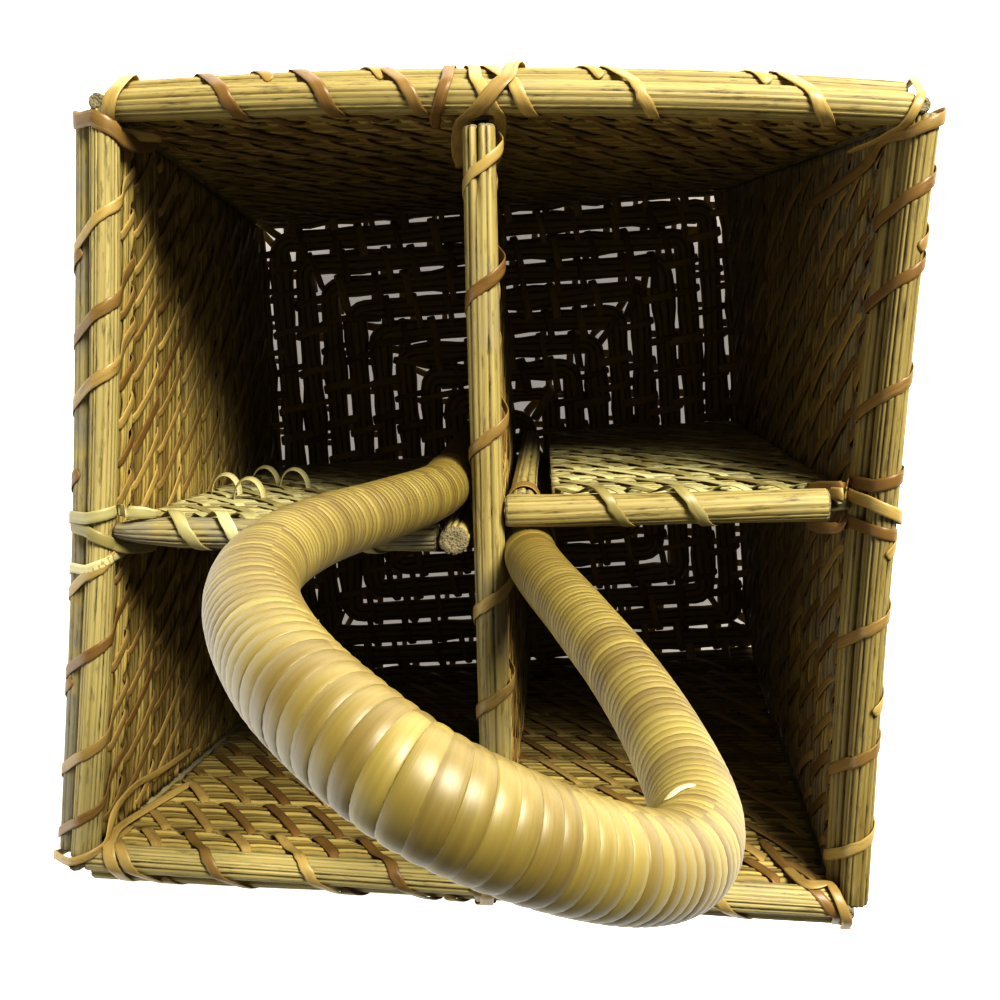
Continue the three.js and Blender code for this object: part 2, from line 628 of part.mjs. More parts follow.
// Each side's own view of the divider that ends on it
const dividerEnds = {
  north: { offset: LONG_DIVIDER_OFFSET, turn: LONG_DIVIDER_TURN },
  east: { offset: -EAST_DIVIDER_OFFSET, turn: EAST_DIVIDER_TURN },
  south: { offset: -LONG_DIVIDER_OFFSET, turn: LONG_DIVIDER_TURN },
  west: { offset: WEST_DIVIDER_OFFSET, turn: WEST_DIVIDER_TURN },
};

addBaseCoil();

addSide("north", sides.north, NORTH_WRAPS, dividerEnds.north);
addSide("east", sides.east, EAST_WRAPS, dividerEnds.east);
addSide("south", sides.south, SOUTH_WRAPS, dividerEnds.south);
addSide("west", sides.west, WEST_WRAPS, dividerEnds.west);

addCorner("north_east", sides.north, sides.east);
addCorner("south_east", sides.east, sides.south);
addCorner("south_west", sides.south, sides.west);
addCorner("north_west", sides.west, sides.north);

// The long divider runs north to south; the short ones meet it from the east and the west
addDivider("long", sides.east, LONG_DIVIDER_TURN, {
  offset: LONG_DIVIDER_OFFSET,
  from: -rimInnerY + SEAT_GAP,
  to: rimInnerY - SEAT_GAP,
  rodFrom: -rimInnerY + ROD_SETBACK,
  rodTo: rimInnerY - SEAT_GAP,
  wraps: LONG_ROD_WRAPS,
  middleRoom: legRoom,
});
addDivider("east", sides.north, EAST_DIVIDER_TURN, {
  offset: EAST_DIVIDER_OFFSET,
  from: eastPanelStart,
  to: rimInnerX - SEAT_GAP,
  rodFrom: LONG_DIVIDER_OFFSET + DIVIDER_ROD / 2 + SEAT_GAP,
  rodTo: rimInnerX - EAST_ROD_SETBACK,
  wraps: EAST_ROD_WRAPS,
  middleRoom: 0,
});
addDivider("west", sides.north, WEST_DIVIDER_TURN, {
  offset: WEST_DIVIDER_OFFSET,
  from: -rimInnerX + SEAT_GAP,
  to: westPanelEnd,
  rodFrom: -rimInnerX + SEAT_GAP,
  rodTo: westPostX - REED / 2 - SEAT_GAP,
  wraps: WEST_ROD_WRAPS,
  middleRoom: 0,
});

const eastPost = new THREE.Vector3(eastPostX, EAST_DIVIDER_OFFSET, 0);
const westPost = new THREE.Vector3(westPostX, WEST_DIVIDER_OFFSET, 0);
const centrePost = (foot, top) => reed(REED, foot.clone().setZ(wallFoot), foot.clone().setZ(top), POST_STEPS);
addLeaned("centre_post_east", centrePost(eastPost, dividerTop), reedFinish, EAST_DIVIDER_TURN);
addLeaned("centre_post_west", centrePost(westPost, RIM_HEIGHT), reedFinish, WEST_DIVIDER_TURN);

for (const name of ["north", "south", "east", "west"]) {
  addEndLashing(name, sides[name], dividerEnds[name]);
}

const tied = addHandle();
addLegBinding("leg_binding_west", tied.west, lean(westPost.clone().setZ(tied.west.z), WEST_DIVIDER_TURN));
addLegBinding("leg_binding_east", tied.east, lean(eastPost.clone().setZ(tied.east.z), EAST_DIVIDER_TURN));

export default caddy;
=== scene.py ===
"""Dresses the frame of a four-bottle caddy in split reed, flat cane and a wound pole.

Lengths are metres, +Z is up and north is +Y. Everything woven is laid out square first,
and then leaned the way the real basket leans.
"""

import math
from types import SimpleNamespace

import bpy
import numpy as np
from bpy.props import FloatProperty, FloatVectorProperty, IntProperty, PointerProperty
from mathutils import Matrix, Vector


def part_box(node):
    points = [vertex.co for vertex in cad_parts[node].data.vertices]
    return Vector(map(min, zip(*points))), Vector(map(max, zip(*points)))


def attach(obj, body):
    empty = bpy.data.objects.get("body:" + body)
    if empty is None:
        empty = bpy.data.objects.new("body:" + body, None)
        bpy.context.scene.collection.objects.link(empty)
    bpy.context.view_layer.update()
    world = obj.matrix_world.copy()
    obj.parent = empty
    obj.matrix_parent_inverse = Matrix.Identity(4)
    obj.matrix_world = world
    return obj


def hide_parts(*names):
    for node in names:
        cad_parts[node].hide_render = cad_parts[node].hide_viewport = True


bl_info = {
    "name": "Woven bottle caddy",
    "version": (1, 0, 0),
    "blender": (4, 5, 0),
    "location": "3D View > Sidebar > Caddy",
    "description": "Reed, cane and pole surfaces for a square four-bottle caddy",
    "category": "Add Mesh",
}

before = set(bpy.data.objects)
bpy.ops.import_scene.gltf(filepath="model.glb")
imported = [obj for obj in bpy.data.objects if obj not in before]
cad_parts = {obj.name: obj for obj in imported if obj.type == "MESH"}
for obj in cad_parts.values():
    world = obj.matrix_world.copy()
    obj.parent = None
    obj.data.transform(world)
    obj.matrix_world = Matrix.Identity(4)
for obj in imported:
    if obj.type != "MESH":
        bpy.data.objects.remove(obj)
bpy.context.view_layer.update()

MM = 0.001
UP = np.array([0.0, 0.0, 1.0])

# Heights that the frame gives
WALL_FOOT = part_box("wall_north")[0].z
WALL_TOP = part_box("wall_north")[1].z
DIVIDER_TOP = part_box("divider_long")[1].z
RIM_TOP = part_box("centre_post_west")[1].z
COIL_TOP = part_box("base_coil")[1].z
SLEEVE_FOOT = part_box("handle_sleeve_west")[0].z
BINDING_HEIGHT = (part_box("leg_binding_west")[0].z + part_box("leg_binding_west")[1].z) / 2

# Hand-made lean: the base is turned under the rim, and the rim is out of square
BASE_TURN = 6.7
RIM_SHEAR = 1.5 * MM
SOUTH_FLARE = 2.6 * MM
EAST_FLARE = 1.7 * MM
NORTH_BOW = 3.5 * MM
EAST_PINCH = 2 * MM
WEST_PINCH = 1.7 * MM

# Dividers: how far each stands off the middle, how far it is turned at the rim, and its rod's ends
LONG_OFFSET, LONG_TURN = 1.8 * MM, 4.8
EAST_OFFSET, EAST_TURN = 1.4 * MM, 2.7
WEST_OFFSET, WEST_TURN = -5.3 * MM, 1.1
ROD_SETBACK = 2.5 * MM
EAST_ROD_SETBACK = 7 * MM
SEAT_GAP = 0.3 * MM
# How far each outer rim reed stands out past its place, and how far the reeds reach to the corners
OUTER_STANDOFF = {"north": 1.6 * MM, "east": 0.8 * MM, "south": 2.4 * MM, "west": 3.2 * MM}
REED_REACH = 3.2 * MM
# How far a rim's two reeds are pressed into each other's flutes
REED_NESTLE = 0.7 * MM
# How far the weave climbs behind the rim reeds and the rods
WALL_CLIMB = 8 * MM
DIVIDER_CLIMB = 1.5 * MM
# How loosely the cane lies on a divider
DIVIDER_SLACK = 1.1 * MM
# Room between a panel and a post for the cane that passes between them
CANE_PASSAGE = 1.88 * MM

# Handle: where its legs stand, and its loop in shares of the spread along and across, and of the rise
POLE_FEET = {"west": (-9.99 * MM, 6.6 * MM), "east": (12.8 * MM, -8.8 * MM)}
HANDLE_RISE = 152 * MM
HANDLE_SPREAD = 71 * MM
HANDLE_TURN = -23
LOOP_STATIONS = [
    (-0.3, -0.007, 0.23), (-0.395, -0.042, 0.4), (-0.43, -0.056, 0.56), (-0.4, -0.042, 0.705),
    (-0.31, -0.014, 0.84), (-0.17, 0.014, 0.95), (0.03, 0.014, 1), (0.28, -0.014, 0.957),
    (0.487, -0.049, 0.855), (0.57, -0.056, 0.73), (0.54, -0.042, 0.587), (0.453, -0.028, 0.428),
    (0.34, -0.028, 0.256),
]

# Places of the cane wraps: along each side clockwise, and south or east along the rods
RIM_WRAPS = {
    "north": [-65, -42, -22, 3, 32, 72],
    "east": [-77, -59, -34, 22, 54, 77],
    "south": [-65, -32, 14, 37, 61, 83],
    "west": [-82, -64, -38, -17, 31, 47, 69],
}
ROD_WRAPS = {"long": [-79, -54, -18, 20, 46], "east": [32, 52], "west": [-71, -60, -30]}

# Places of the short strips that tie down the outer rim reed alone
OUTER_TIES = {
    "north": [-59, -32, 19, 58],
    "east": [-68, 2, 40],
    "south": [-48, 0, 26, 72],
    "west": [-50, 4, 58],
}

# Lashings at the corners, in millimetres: the side crossed, the places along it on its outward and inward
# edge, places (along, out, up) of the inner tail, lift over the reeds, and share of the strip's width
CORNER_LASHINGS = {
    "north_east": [
        ("north", 96, 91, [(90, 88.5, 169), (87, 87, 158)], 0.3, 0.9),
        ("east", -94, -88, [(-85, 91, 162), (-81, 91.2, 138), (-78, 91, 112)], 0.5, 1.1),
    ],
    "north_west": [
        ("north", -90, -94, [(-91, 89, 172), (-84, 88.5, 166)], 0.6, 1.1),
        ("west", 93, 87, [(87, 89, 168), (89, 87, 160)], 0, 1.3),
    ],
    "south_west": [
        ("west", -96, -90, [(-84, 90.5, 171), (-82, 91.3, 158), (-84, 91.3, 138), (-85, 91, 116)], 0.8, 0.8),
        ("south", 84, 89, [(91, 90, 168), (90, 91.2, 148), (86, 91, 128)], 0, 1.0),
    ],
    "south_east": [
        ("south", -96, -86, [(-83, 90.5, 170), (-77, 91.3, 152)], 0, 0.95),
        ("south", -97, -91, [(-86, 89.5, 177), (-81, 91, 165)], 1.0, 0.95),
    ],
}

# Lashings of the dividers' ends to the rim, told the same way, each on its own side
END_LASHINGS = {
    "north": [
        (3, -9, [(-10.5, 87, 167), (-10, 82, 158)], 0.6, 1.25),
        (-8.5, -1, [(-0.5, 87, 168), (-1.5, 82, 158)], 0, 1.15),
        (-13, -16, [(-16, 88.5, 171)], 0, 0.9),
    ],
    "east": [
        (-14, -10, [(-9.5, 88, 174), (-8, 81, 167)], 0.2, 1.2),
        (-3, -8, [(-8, 88, 175), (-7, 81, 165)], 0.8, 1.2),
        (1, -1, [(1, 88, 171), (2, 82, 164)], 0, 1.1),
    ],
    "south": [
        (-7, -2.5, [(-2, 88, 172)], 0, 1.2),
        (-5, -12, [(-13, 89, 172)], 0.5, 1.1),
    ],
    "west": [
        (-4.5, -1.5, [(-1.5, 86, 179.5), (-2, 80, 177)], 0.4, 1.2),
        (-5, -10.5, [(-11.5, 88, 174), (-12, 83, 168)], 0, 1.2),
        (-18, -13.5, [(-13, 90, 170)], 0, 1.0),
    ],
}
# The outward end of every lashing is tucked into the weave this far under the rim, and this near the corner
LASHING_TUCK = 9 * MM
LASHING_CORNER = 88 * MM

# Loose half rings of cane that stand off the west divider, in millimetres: places along it, and heights
LOOSE_RINGS = [(-82, 112), (-71, 126), (-76, 88), (-64, 98)]

# Where the base's turns stand apart, a little off its middle
BASE_OPENING = (10 * MM, 16 * MM, 0.0)

# Camera of the photograph
CAMERA_PLACE = (12.532 * MM, 44.303 * MM, 432.031 * MM)
CAMERA_TURN = (-8.814, 2.233, 2.625)
CAMERA_LENS = 38.7
CAMERA_SENSOR = 36


def linear_colour(hex_colour):
    """The linear colour of an sRGB hex colour, with full alpha."""
    shares = np.array([int(hex_colour[i:i + 2], 16) for i in (0, 2, 4)]) / 255
    linear = np.where(shares <= 0.04045, shares / 12.92, ((shares + 0.055) / 1.055) ** 2.4)
    return (*linear, 1.0)


def length(name, description, default):
    """A size that can be set, in metres."""
    return FloatProperty(name=name, description=description, default=default, unit="LENGTH", precision=5)


def colour(name, description, hex_colour):
    """A colour that can be set, whose default is an sRGB hex colour."""
    return FloatVectorProperty(name=name, description=description, default=linear_colour(hex_colour),
                               size=4, subtype="COLOR", min=0, max=1)


class CaddySizes(bpy.types.PropertyGroup):
    """Sizes of the basket's reeds, bundles and handle."""

    rim_width: length("Rim width", "Outside of the rim from east to west", 200 * MM)
    rim_length: length("Rim length", "Outside of the rim from north to south", 199 * MM)
    reed: length("Reed", "Diameter of a rim reed", 7.2 * MM)
    rim_step: length("Rim step", "How far the inner rim reed is set in", 1.8 * MM)
    rod: length("Divider rod", "Diameter of a divider's rod", 7.8 * MM)
    bundle: length("Bundle", "Thickness of a woven panel", 5.6 * MM)
    row_pitch: length("Row pitch", "Height of one row of a panel", 8 * MM)
    coil_pitch: length("Coil pitch", "From one turn of the base to the next", 9.5 * MM)
    coil_width: length("Coil width", "Width of the base's bundle", 9.0 * MM)
    pole: length("Pole", "Diameter of the bare handle pole", 10.8 * MM)
    winding: length("Winding", "Thickness of the cane wound on the pole", 1.1 * MM)
    foot_pitch: length("Foot pitch", "Pitch of the winding at the rim", 1.5 * MM)
    crown_pitch: length("Crown pitch", "Pitch of the winding at the top of the handle", 2.35 * MM)


class CaddyWeave(bpy.types.PropertyGroup):
    """How the flat cane is woven through the panels and tied over the rim."""

    cane_width: length("Cane width", "Width of a flat cane strip", 2.8 * MM)
    cane_thickness: length("Cane thickness", "Thickness of a flat cane strip", 0.4 * MM)
    spacing: length("Strip spacing", "From one strip to the next along a row", 5.3 * MM)
    float_height: length("Float height", "Height over which a strip stays on one face", 20 * MM)
    slant: FloatProperty(name="Slant", description="Sideways run of a strip for its height", default=0.7)
    strands: IntProperty(name="Strands", description="Strands side by side in one row", default=4)
    wander: length("Wander", "How far a strand strays from its line", 0.15 * MM)


class CaddyColours(bpy.types.PropertyGroup):
    """Colours of the reeds, cane and pole, light and dark."""

    reed_light: colour("Reed light", "Lit skin of the split reeds", "E4D492")
    reed_dark: colour("Reed dark", "Shaded skin of the split reeds", "9C884A")
    bundle_light: colour("Bundle light", "Lit strands of the panels", "D6C074")
    bundle_dark: colour("Bundle dark", "Shaded strands of the panels", "927C40")
    bleached_light: colour("Bleached light", "Lit strands and cane of the dividers", "E8E0A8")
    bleached_dark: colour("Bleached dark", "Shaded strands and cane of the dividers", "A89A60")
    cane_light: colour("Cane light", "Palest cane strip", "CAB06C")
    cane_dark: colour("Cane dark", "Brown cane strip", "92723E")
    winding_light: colour("Winding light", "Polished cane on the handle", "A6944A")
    winding_dark: colour("Winding dark", "Darker turns on the handle", "846F32")
    pole_bark: colour("Pole bark", "Bare wood of the pole", "6A4A28")
    weathered: colour("Weathered", "Grey of old reed", "A09A86")
    # Painted sheen: a grey that stands for cool light from the west on the east wall's strands
    painted_sheen: colour("Painted sheen", "Painted grey sheen of cool light on the strands", "A0978E")
    # Crease: the colour of painted shade in flutes, grooves, holes and between turns, and of real dark
    # specks and pores
    crease: colour("Crease", "Painted shade in the creases, and dark specks", "3A2A10")


def unit(vectors):
    """Vectors scaled to a length of one."""
    return vectors / np.linalg.norm(vectors, axis=-1, keepdims=True)


def smooth_step(share):
    """Rises from nought to one with level ends: three squares less two cubes of the clipped share."""
    share = np.clip(share, 0, 1)
    return share * share * (3 - 2 * share)


def turn_about_up(points, degrees):
    """Each point turned about the upright axis by its own angle."""
    angle = np.radians(degrees)
    x = points[..., 0] * np.cos(angle) - points[..., 1] * np.sin(angle)
    y = points[..., 0] * np.sin(angle) + points[..., 1] * np.cos(angle)
    return np.stack([x, y, points[..., 2]], axis=-1)


def lean(points, sizes, own_turn=0.0):
    """Square-laid points as the maker's hands left them.

    Each is turned by its own turn in proportion to height, shifted by the rim's shear, flares, bow and
    pinches, which are products of the shares of half width and half length, and turned back by the
    base's turn in proportion to its depth under the rim.
    """
    share = np.clip(points[..., 2] / RIM_TOP, 0, 1)
    turned = turn_about_up(points, own_turn * share)
    x = turned[..., 0] / (sizes.rim_width / 2)
    y = turned[..., 1] / (sizes.rim_length / 2)
    north_bow = NORTH_BOW * np.maximum(y, 0) ** 2 * (1 - x * x)
    pinch = (WEST_PINCH * np.maximum(-x, 0) ** 2 - EAST_PINCH * np.maximum(x, 0) ** 2) * (1 - y * y)
    turned[..., 0] += share * (RIM_SHEAR * y + pinch) - SOUTH_FLARE * x * y
    turned[..., 1] += share * (RIM_SHEAR * x + EAST_FLARE * x * y + north_bow)
    return turn_about_up(turned, BASE_TURN * (1 - share))


def catmull_rom(keys, steps=24):
    """A smooth curve through keys, whose first three columns are places and whose others ride along.

    Each span is the cubic whose end slopes come from the knots on either side, with knot spacings the
    square roots of the chords, and the ends carry on straight.
    """
    keys = np.vstack([2 * keys[0] - keys[1], keys, 2 * keys[-1] - keys[-2]])
    p0, p1, p2, p3 = keys[:-3], keys[1:-2], keys[2:-1], keys[3:]
    knots = np.sqrt(np.linalg.norm(np.diff(keys[:, :3], axis=0), axis=1))[:, None]
    before, here, after = knots[:-2], knots[1:-1], knots[2:]
    leave = ((p1 - p0) / before - (p2 - p0) / (before + here) + (p2 - p1) / here) * here
    arrive = ((p2 - p1) / here - (p3 - p1) / (here + after) + (p3 - p2) / after) * here
    t = np.linspace(0, 1, steps, endpoint=False)[:, None, None]
    spans = ((2 * t**3 - 3 * t**2 + 1) * p1 + (t**3 - 2 * t**2 + t) * leave
             + (3 * t**2 - 2 * t**3) * p2 + (t**3 - t**2) * arrive)
    return np.vstack([spans.transpose(1, 0, 2).reshape(-1, keys.shape[1]), keys[-2:-1]])


def run_along(points):
    """Distance along a route at each of its points."""
    steps = np.linalg.norm(np.diff(points[..., :3], axis=-2), axis=-1)
    start = np.zeros(steps.shape[:-1] + (1,))
    return np.concatenate([start, np.cumsum(steps, axis=-1)], axis=-1)


def at_distances(samples, distances):
    """Columns of a sampled route at the given distances along it."""
    run = run_along(samples)
    return np.stack([np.interp(distances, run, column) for column in samples.T], axis=-1)


def evenly(keys, count):
    """So many places, evenly spaced along the smooth curve through keys."""
    samples = catmull_rom(np.asarray(keys, float))
    return at_distances(samples, np.linspace(0, run_along(samples)[-1], count))


# A strip's section: shares of half the width across and of half the thickness out
CANE_PROFILE = np.array([(1, -0.3), (0.93, 0.5), (0.5, 1), (-0.5, 1), (-0.93, 0.5), (-1, -0.3),
                         (-0.8, -1), (0.8, -1)])
THIN_PROFILE = np.array([(1, 0), (0.6, 1), (-0.6, 1), (-1, 0), (-0.6, -1), (0.6, -1)])
WOUND_PROFILE = np.array([(1, 0.45), (0.82, 0.74), (0.32, 0.98), (-0.32, 0.98), (-0.82, 0.74), (-1, 0.45),
                          (-1, -1), (1, -1)])


def ribbon(centres, faces, width, thickness, profile=CANE_PROFILE):
    """Sections of flat cane: the profile's points lie so far across the route and so far out from it,
    where across is square to the route and to the way that the strip faces."""
    forward = unit(np.gradient(centres, axis=-2))
    across = unit(np.cross(faces, forward))
    outward = np.cross(forward, across)
    sideways = np.asarray(width)[..., None, None] / 2 * profile[:, :1]
    out = profile[:, 1:] * thickness / 2
    return (centres[..., None, :] + across[..., None, :] * sideways + outward[..., None, :] * out)


def tubes(points, tone=0.5, crease=None, end_rings=0):
    """Closed tubes through sections: points are tube, station, point of the section, axis.

    Each section turns counter-clockwise about the run, so the faces look outwards. The fibre UV holds
    distance along the run and round the section, and the first and last end_rings rings of faces and
    the caps take the second material.
    """
    count, stations, sides, _ = points.shape
    index = np.arange(count * stations * sides).reshape(count, stations, sides)
    here, beside = index, np.roll(index, -1, axis=2)
    quads = np.stack([here[:, :-1], beside[:, :-1], beside[:, 1:], here[:, 1:]], axis=-1)
    along = run_along(points.mean(axis=2))
    perimeter = np.linalg.norm(np.diff(points[:, :, [*range(sides), 0]], axis=2), axis=-1).sum(axis=2)
    round_share = np.arange(sides + 1) / sides * np.median(perimeter)
    u = np.broadcast_to(along[:, :, None], (count, stations, sides))
    u = np.stack([u[:, :-1], u[:, :-1], u[:, 1:], u[:, 1:]], axis=-1)
    v = np.stack([round_share[:-1], round_share[1:], round_share[1:], round_share[:-1]], axis=-1)
    v = np.broadcast_to(v, u.shape)
    caps = np.concatenate([index[:, 0, ::-1], index[:, -1]])
    tone = np.broadcast_to(np.asarray(tone, float), (count,))
    ends = np.zeros(quads.shape[:3], int)
    if end_rings:
        ends[:, :end_rings] = 1
        ends[:, -end_rings:] = 1
    cap_uv = np.zeros((caps.size, 2))
    return SimpleNamespace(
        points=points.reshape(-1, 3),
        crease=np.zeros(index.size) if crease is None else np.broadcast_to(crease, index.shape).ravel(),
        corners=np.concatenate([quads.ravel(), caps.ravel()]),
        sizes=np.concatenate([np.full(quads.size // 4, 4), np.full(len(caps), sides)]),
        uv=np.concatenate([np.stack([u.ravel(), v.ravel()], axis=1), cap_uv]),
        tone=np.concatenate([np.repeat(tone, quads[0].size // 4), np.tile(tone, 2)]),
        material=np.concatenate([ends.ravel(), np.full(len(caps), 1 if end_rings else 0)]),
    )


def joined(blocks):
    """Several blocks as one, with their corners counted on."""
    starts = np.cumsum([0] + [len(block.points) for block in blocks[:-1]])
    together = {key: np.concatenate([getattr(block, key) for block in blocks])
                for key in ("points", "crease", "sizes", "uv", "tone", "material")}
    corners = np.concatenate([block.corners + start for block, start in zip(blocks, starts)])
    return SimpleNamespace(corners=corners, **together)


def add_piece(name, blocks, materials, replaced):
    """Puts blocks into one mesh object that rides on the root and stands for the CAD nodes replaced."""
    block = joined(blocks)
    mesh = bpy.data.meshes.new(name)
    mesh.vertices.add(len(block.points))
    mesh.vertices.foreach_set("co", block.points.astype(np.float32).ravel())
    mesh.loops.add(len(block.corners))
    mesh.loops.foreach_set("vertex_index", block.corners.astype(np.int32))
    mesh.polygons.add(len(block.sizes))
    mesh.polygons.foreach_set("loop_start", np.cumsum([0, *block.sizes[:-1]]).astype(np.int32))
    mesh.polygons.foreach_set("material_index", block.material.astype(np.int32))
    mesh.update(calc_edges=True)
    if mesh.validate():
        raise RuntimeError(f"{name} has faces that don't hold together")
    mesh.shade_smooth()
    mesh.uv_layers.new(name="fibre").data.foreach_set("uv", block.uv.astype(np.float32).ravel())
    for layer, domain in (("tone", "FACE"), ("crease", "POINT")):
        values = getattr(block, layer).astype(np.float32)
        mesh.attributes.new(layer, "FLOAT", domain).data.foreach_set("value", values)
    for material in materials:
        mesh.materials.append(material)
    piece = bpy.data.objects.new(name, mesh)
    bpy.context.scene.collection.objects.link(piece)
    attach(piece, "root")
    if replaced:
        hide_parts(*replaced)
    return piece


def add_node(tree, kind, inputs=None, **settings):
    """Adds a node with its settings. Each input is a value, or the output that feeds it."""
    made = tree.nodes.new(kind)
    for key, value in settings.items():
        setattr(made, key, value)
    for key, value in (inputs or {}).items():
        if isinstance(value, bpy.types.NodeSocket):
            tree.links.new(value, made.inputs[key])
        else:
            made.inputs[key].default_value = value
    return made


# Sockets of the Mix node when it mixes colours
MIX_A, MIX_B, MIX_RESULT = 6, 7, 2


def new_material(name):
    """A material with an empty node tree, and that tree."""
    material = bpy.data.materials.get(name) or bpy.data.materials.new(name)
    material.use_nodes = True
    material.node_tree.nodes.clear()
    return material, material.node_tree


# What every fibrous surface shares: how far apart the noises of two strands lie, the shades between which
# the skin goes from dark to light, the blots dark enough to show, and how softly grey patches begin
TONE_SHIFT = 40
SKIN_SHADES = (0.25, 0.75)
BLOT_SHADES = (0.54, 0.68)
GREY_FADE = 0.2
RELIEF_STRENGTH = 0.8


def fibrous(name, colours, light, dark, grey=None, **changes):
    """Plant fibre that runs along the piece: streaks along the fibre UV, a tone of its own for each strand,
    grey patches of weather, dark specks in blots, painted shade in the creases, and a relief from the same
    streaks."""
    look = look_of(**changes)
    grey = colours.weathered if grey is None else grey
    material, tree = new_material(name)
    fibre_uv = add_node(tree, "ShaderNodeUVMap", uv_map="fibre").outputs[0]
    place = add_node(tree, "ShaderNodeTexCoord").outputs["Object"]
    tone = add_node(tree, "ShaderNodeAttribute", attribute_name="tone").outputs["Fac"]
    # The crease attribute tells where painted shade falls: flutes, grooves between strands and turns, and
    # holes
    dirt = add_node(tree, "ShaderNodeAttribute", attribute_name="crease").outputs["Fac"]
    noises = []
    for long, wide in ((look.streak_length, look.streak_width), (look.speck_length, look.speck_width)):
        stretch = add_node(tree, "ShaderNodeMapping", {
            "Vector": fibre_uv, "Scale": (1 / long, 1 / wide, 1)}).outputs[0]
        apart = add_node(tree, "ShaderNodeVectorMath", {
            0: tone, 1: (TONE_SHIFT,) * 3, 2: stretch}, operation="MULTIPLY_ADD").outputs[0]
        noises.append(add_node(tree, "ShaderNodeTexNoise", {
            "Vector": apart, "Scale": 1.0, "Detail": 5.0, "Roughness": 0.65}).outputs[0])
    streaks, blots = noises
    patches = add_node(tree, "ShaderNodeTexNoise", {
        "Vector": place, "Scale": 1 / look.patch, "Detail": 3.0, "Roughness": 0.6}).outputs[0]
    shade = add_node(tree, "ShaderNodeMath", {
        0: streaks, 1: look.streak_share, 2: add_node(tree, "ShaderNodeMath", {
            0: tone, 1: 1 - look.streak_share}, operation="MULTIPLY").outputs[0]},
        operation="MULTIPLY_ADD").outputs[0]
    spread = add_node(tree, "ShaderNodeMapRange", {
        "Value": shade, "From Min": SKIN_SHADES[0], "From Max": SKIN_SHADES[1]}).outputs[0]
    skin = add_node(tree, "ShaderNodeMix", {0: spread, MIX_A: dark, MIX_B: light}, data_type="RGBA")
    worn = add_node(tree, "ShaderNodeMapRange", {
        "Value": patches, "From Min": look.grey_from, "From Max": look.grey_from + GREY_FADE,
        "To Max": look.grey_most}).outputs[0]
    aged = add_node(tree, "ShaderNodeMix", {
        0: worn, MIX_A: skin.outputs[MIX_RESULT], MIX_B: grey}, data_type="RGBA")
    specks = add_node(tree, "ShaderNodeMapRange", {
        "Value": blots, "From Min": BLOT_SHADES[0], "From Max": BLOT_SHADES[1],
        "To Max": look.specks}).outputs[0]
    # Painted shade in the creases, made patchy by the blots, and real dark specks both take the crease
    # colour
    patchy = add_node(tree, "ShaderNodeMath", {0: blots, 1: look.dirt}, operation="MULTIPLY").outputs[0]
    painted_shade_and_specks = add_node(tree, "ShaderNodeMath", {0: dirt, 1: patchy, 2: specks}, operation="MULTIPLY_ADD",
                     use_clamp=True).outputs[0]
    coloured = add_node(tree, "ShaderNodeMix", {
        0: painted_shade_and_specks, MIX_A: aged.outputs[MIX_RESULT], MIX_B: colours.crease}, data_type="RGBA")
    relief = add_node(tree, "ShaderNodeBump", {
        "Height": streaks, "Distance": look.relief, "Strength": RELIEF_STRENGTH}).outputs[0]
    shader = add_node(tree, "ShaderNodeBsdfPrincipled", {
        "Base Color": coloured.outputs[MIX_RESULT], "Roughness": look.roughness, "IOR": look.ior,
        "Coat Weight": look.coat, "Coat Roughness": look.coat_roughness, "Normal": relief})
    add_node(tree, "ShaderNodeOutputMaterial", {"Surface": shader.outputs[0]})
    return material


def look_of(**changes):
    """How a fibrous surface looks, with the changes made to a plain split reed."""
    plain = dict(streak_length=45 * MM, streak_width=0.7 * MM, streak_share=0.65, speck_length=7 * MM,
                 speck_width=1.1 * MM, specks=0.45, patch=35 * MM, grey_from=0.56, grey_most=0.6,
                 dirt=1.25, relief=0.25 * MM, roughness=0.55, ior=1.5, coat=0.0, coat_roughness=0.25)
    return SimpleNamespace(**{**plain, **changes})


def split_reed(colours):
    # Rattan core split and dried: dull straw skin with long flutes, greyed where it has been handled
    return fibrous("split_rattan_reed", colours, colours.reed_light, colours.reed_dark)


def weathered_reed(colours):
    # The same reed gone grey and brown in long streaks where it has lost its skin
    return fibrous("weathered_rattan_reed", colours, colours.reed_light, colours.reed_dark,
                   streak_width=0.5 * MM, patch=14 * MM, grey_from=0.36, grey_most=0.8, roughness=0.7)


# What all bundles of rush-thin strands share: each strand of its own tone, and painted shade between them
STRANDS = dict(streak_share=0.45, specks=0.25, dirt=1.6, roughness=0.62, grey_from=0.7)


def reed_bundle(colours):
    # Rush-thin rattan strands laid side by side: matt, each of its own shade
    return fibrous("rattan_strand_bundle", colours, colours.bundle_light, colours.bundle_dark, **STRANDS)


def sheen_greyed_bundle(colours):
    # The same strands with a painted grey sheen in patches, which stands for cool light from the west on the
    # east wall
    painted_sheen = {**STRANDS, "specks": 0.35, "roughness": 0.7, "grey_from": 0.36}
    return fibrous("painted_sheen_strand_bundle", colours, colours.bundle_light, colours.bundle_dark,
                   colours.painted_sheen, patch=20 * MM, grey_most=0.65, **painted_sheen)


def bleached_bundle(colours):
    # The same strands where light has paled them to a greenish straw
    return fibrous("bleached_strand_bundle", colours, colours.bleached_light, colours.bleached_dark,
                   **STRANDS)


# What all strips of peeled cane skin share: fine lengthwise fibres and a faint relief
CANE_SKIN = dict(streak_width=0.45 * MM, streak_share=0.4, relief=0.1 * MM, coat=0.1)


def bleached_cane(colours):
    # Peeled cane paled by light, still with a low gloss
    return fibrous("bleached_flat_cane", colours, colours.bleached_light, colours.bleached_dark,
                   specks=0.15, roughness=0.45, grey_from=0.75, **CANE_SKIN)


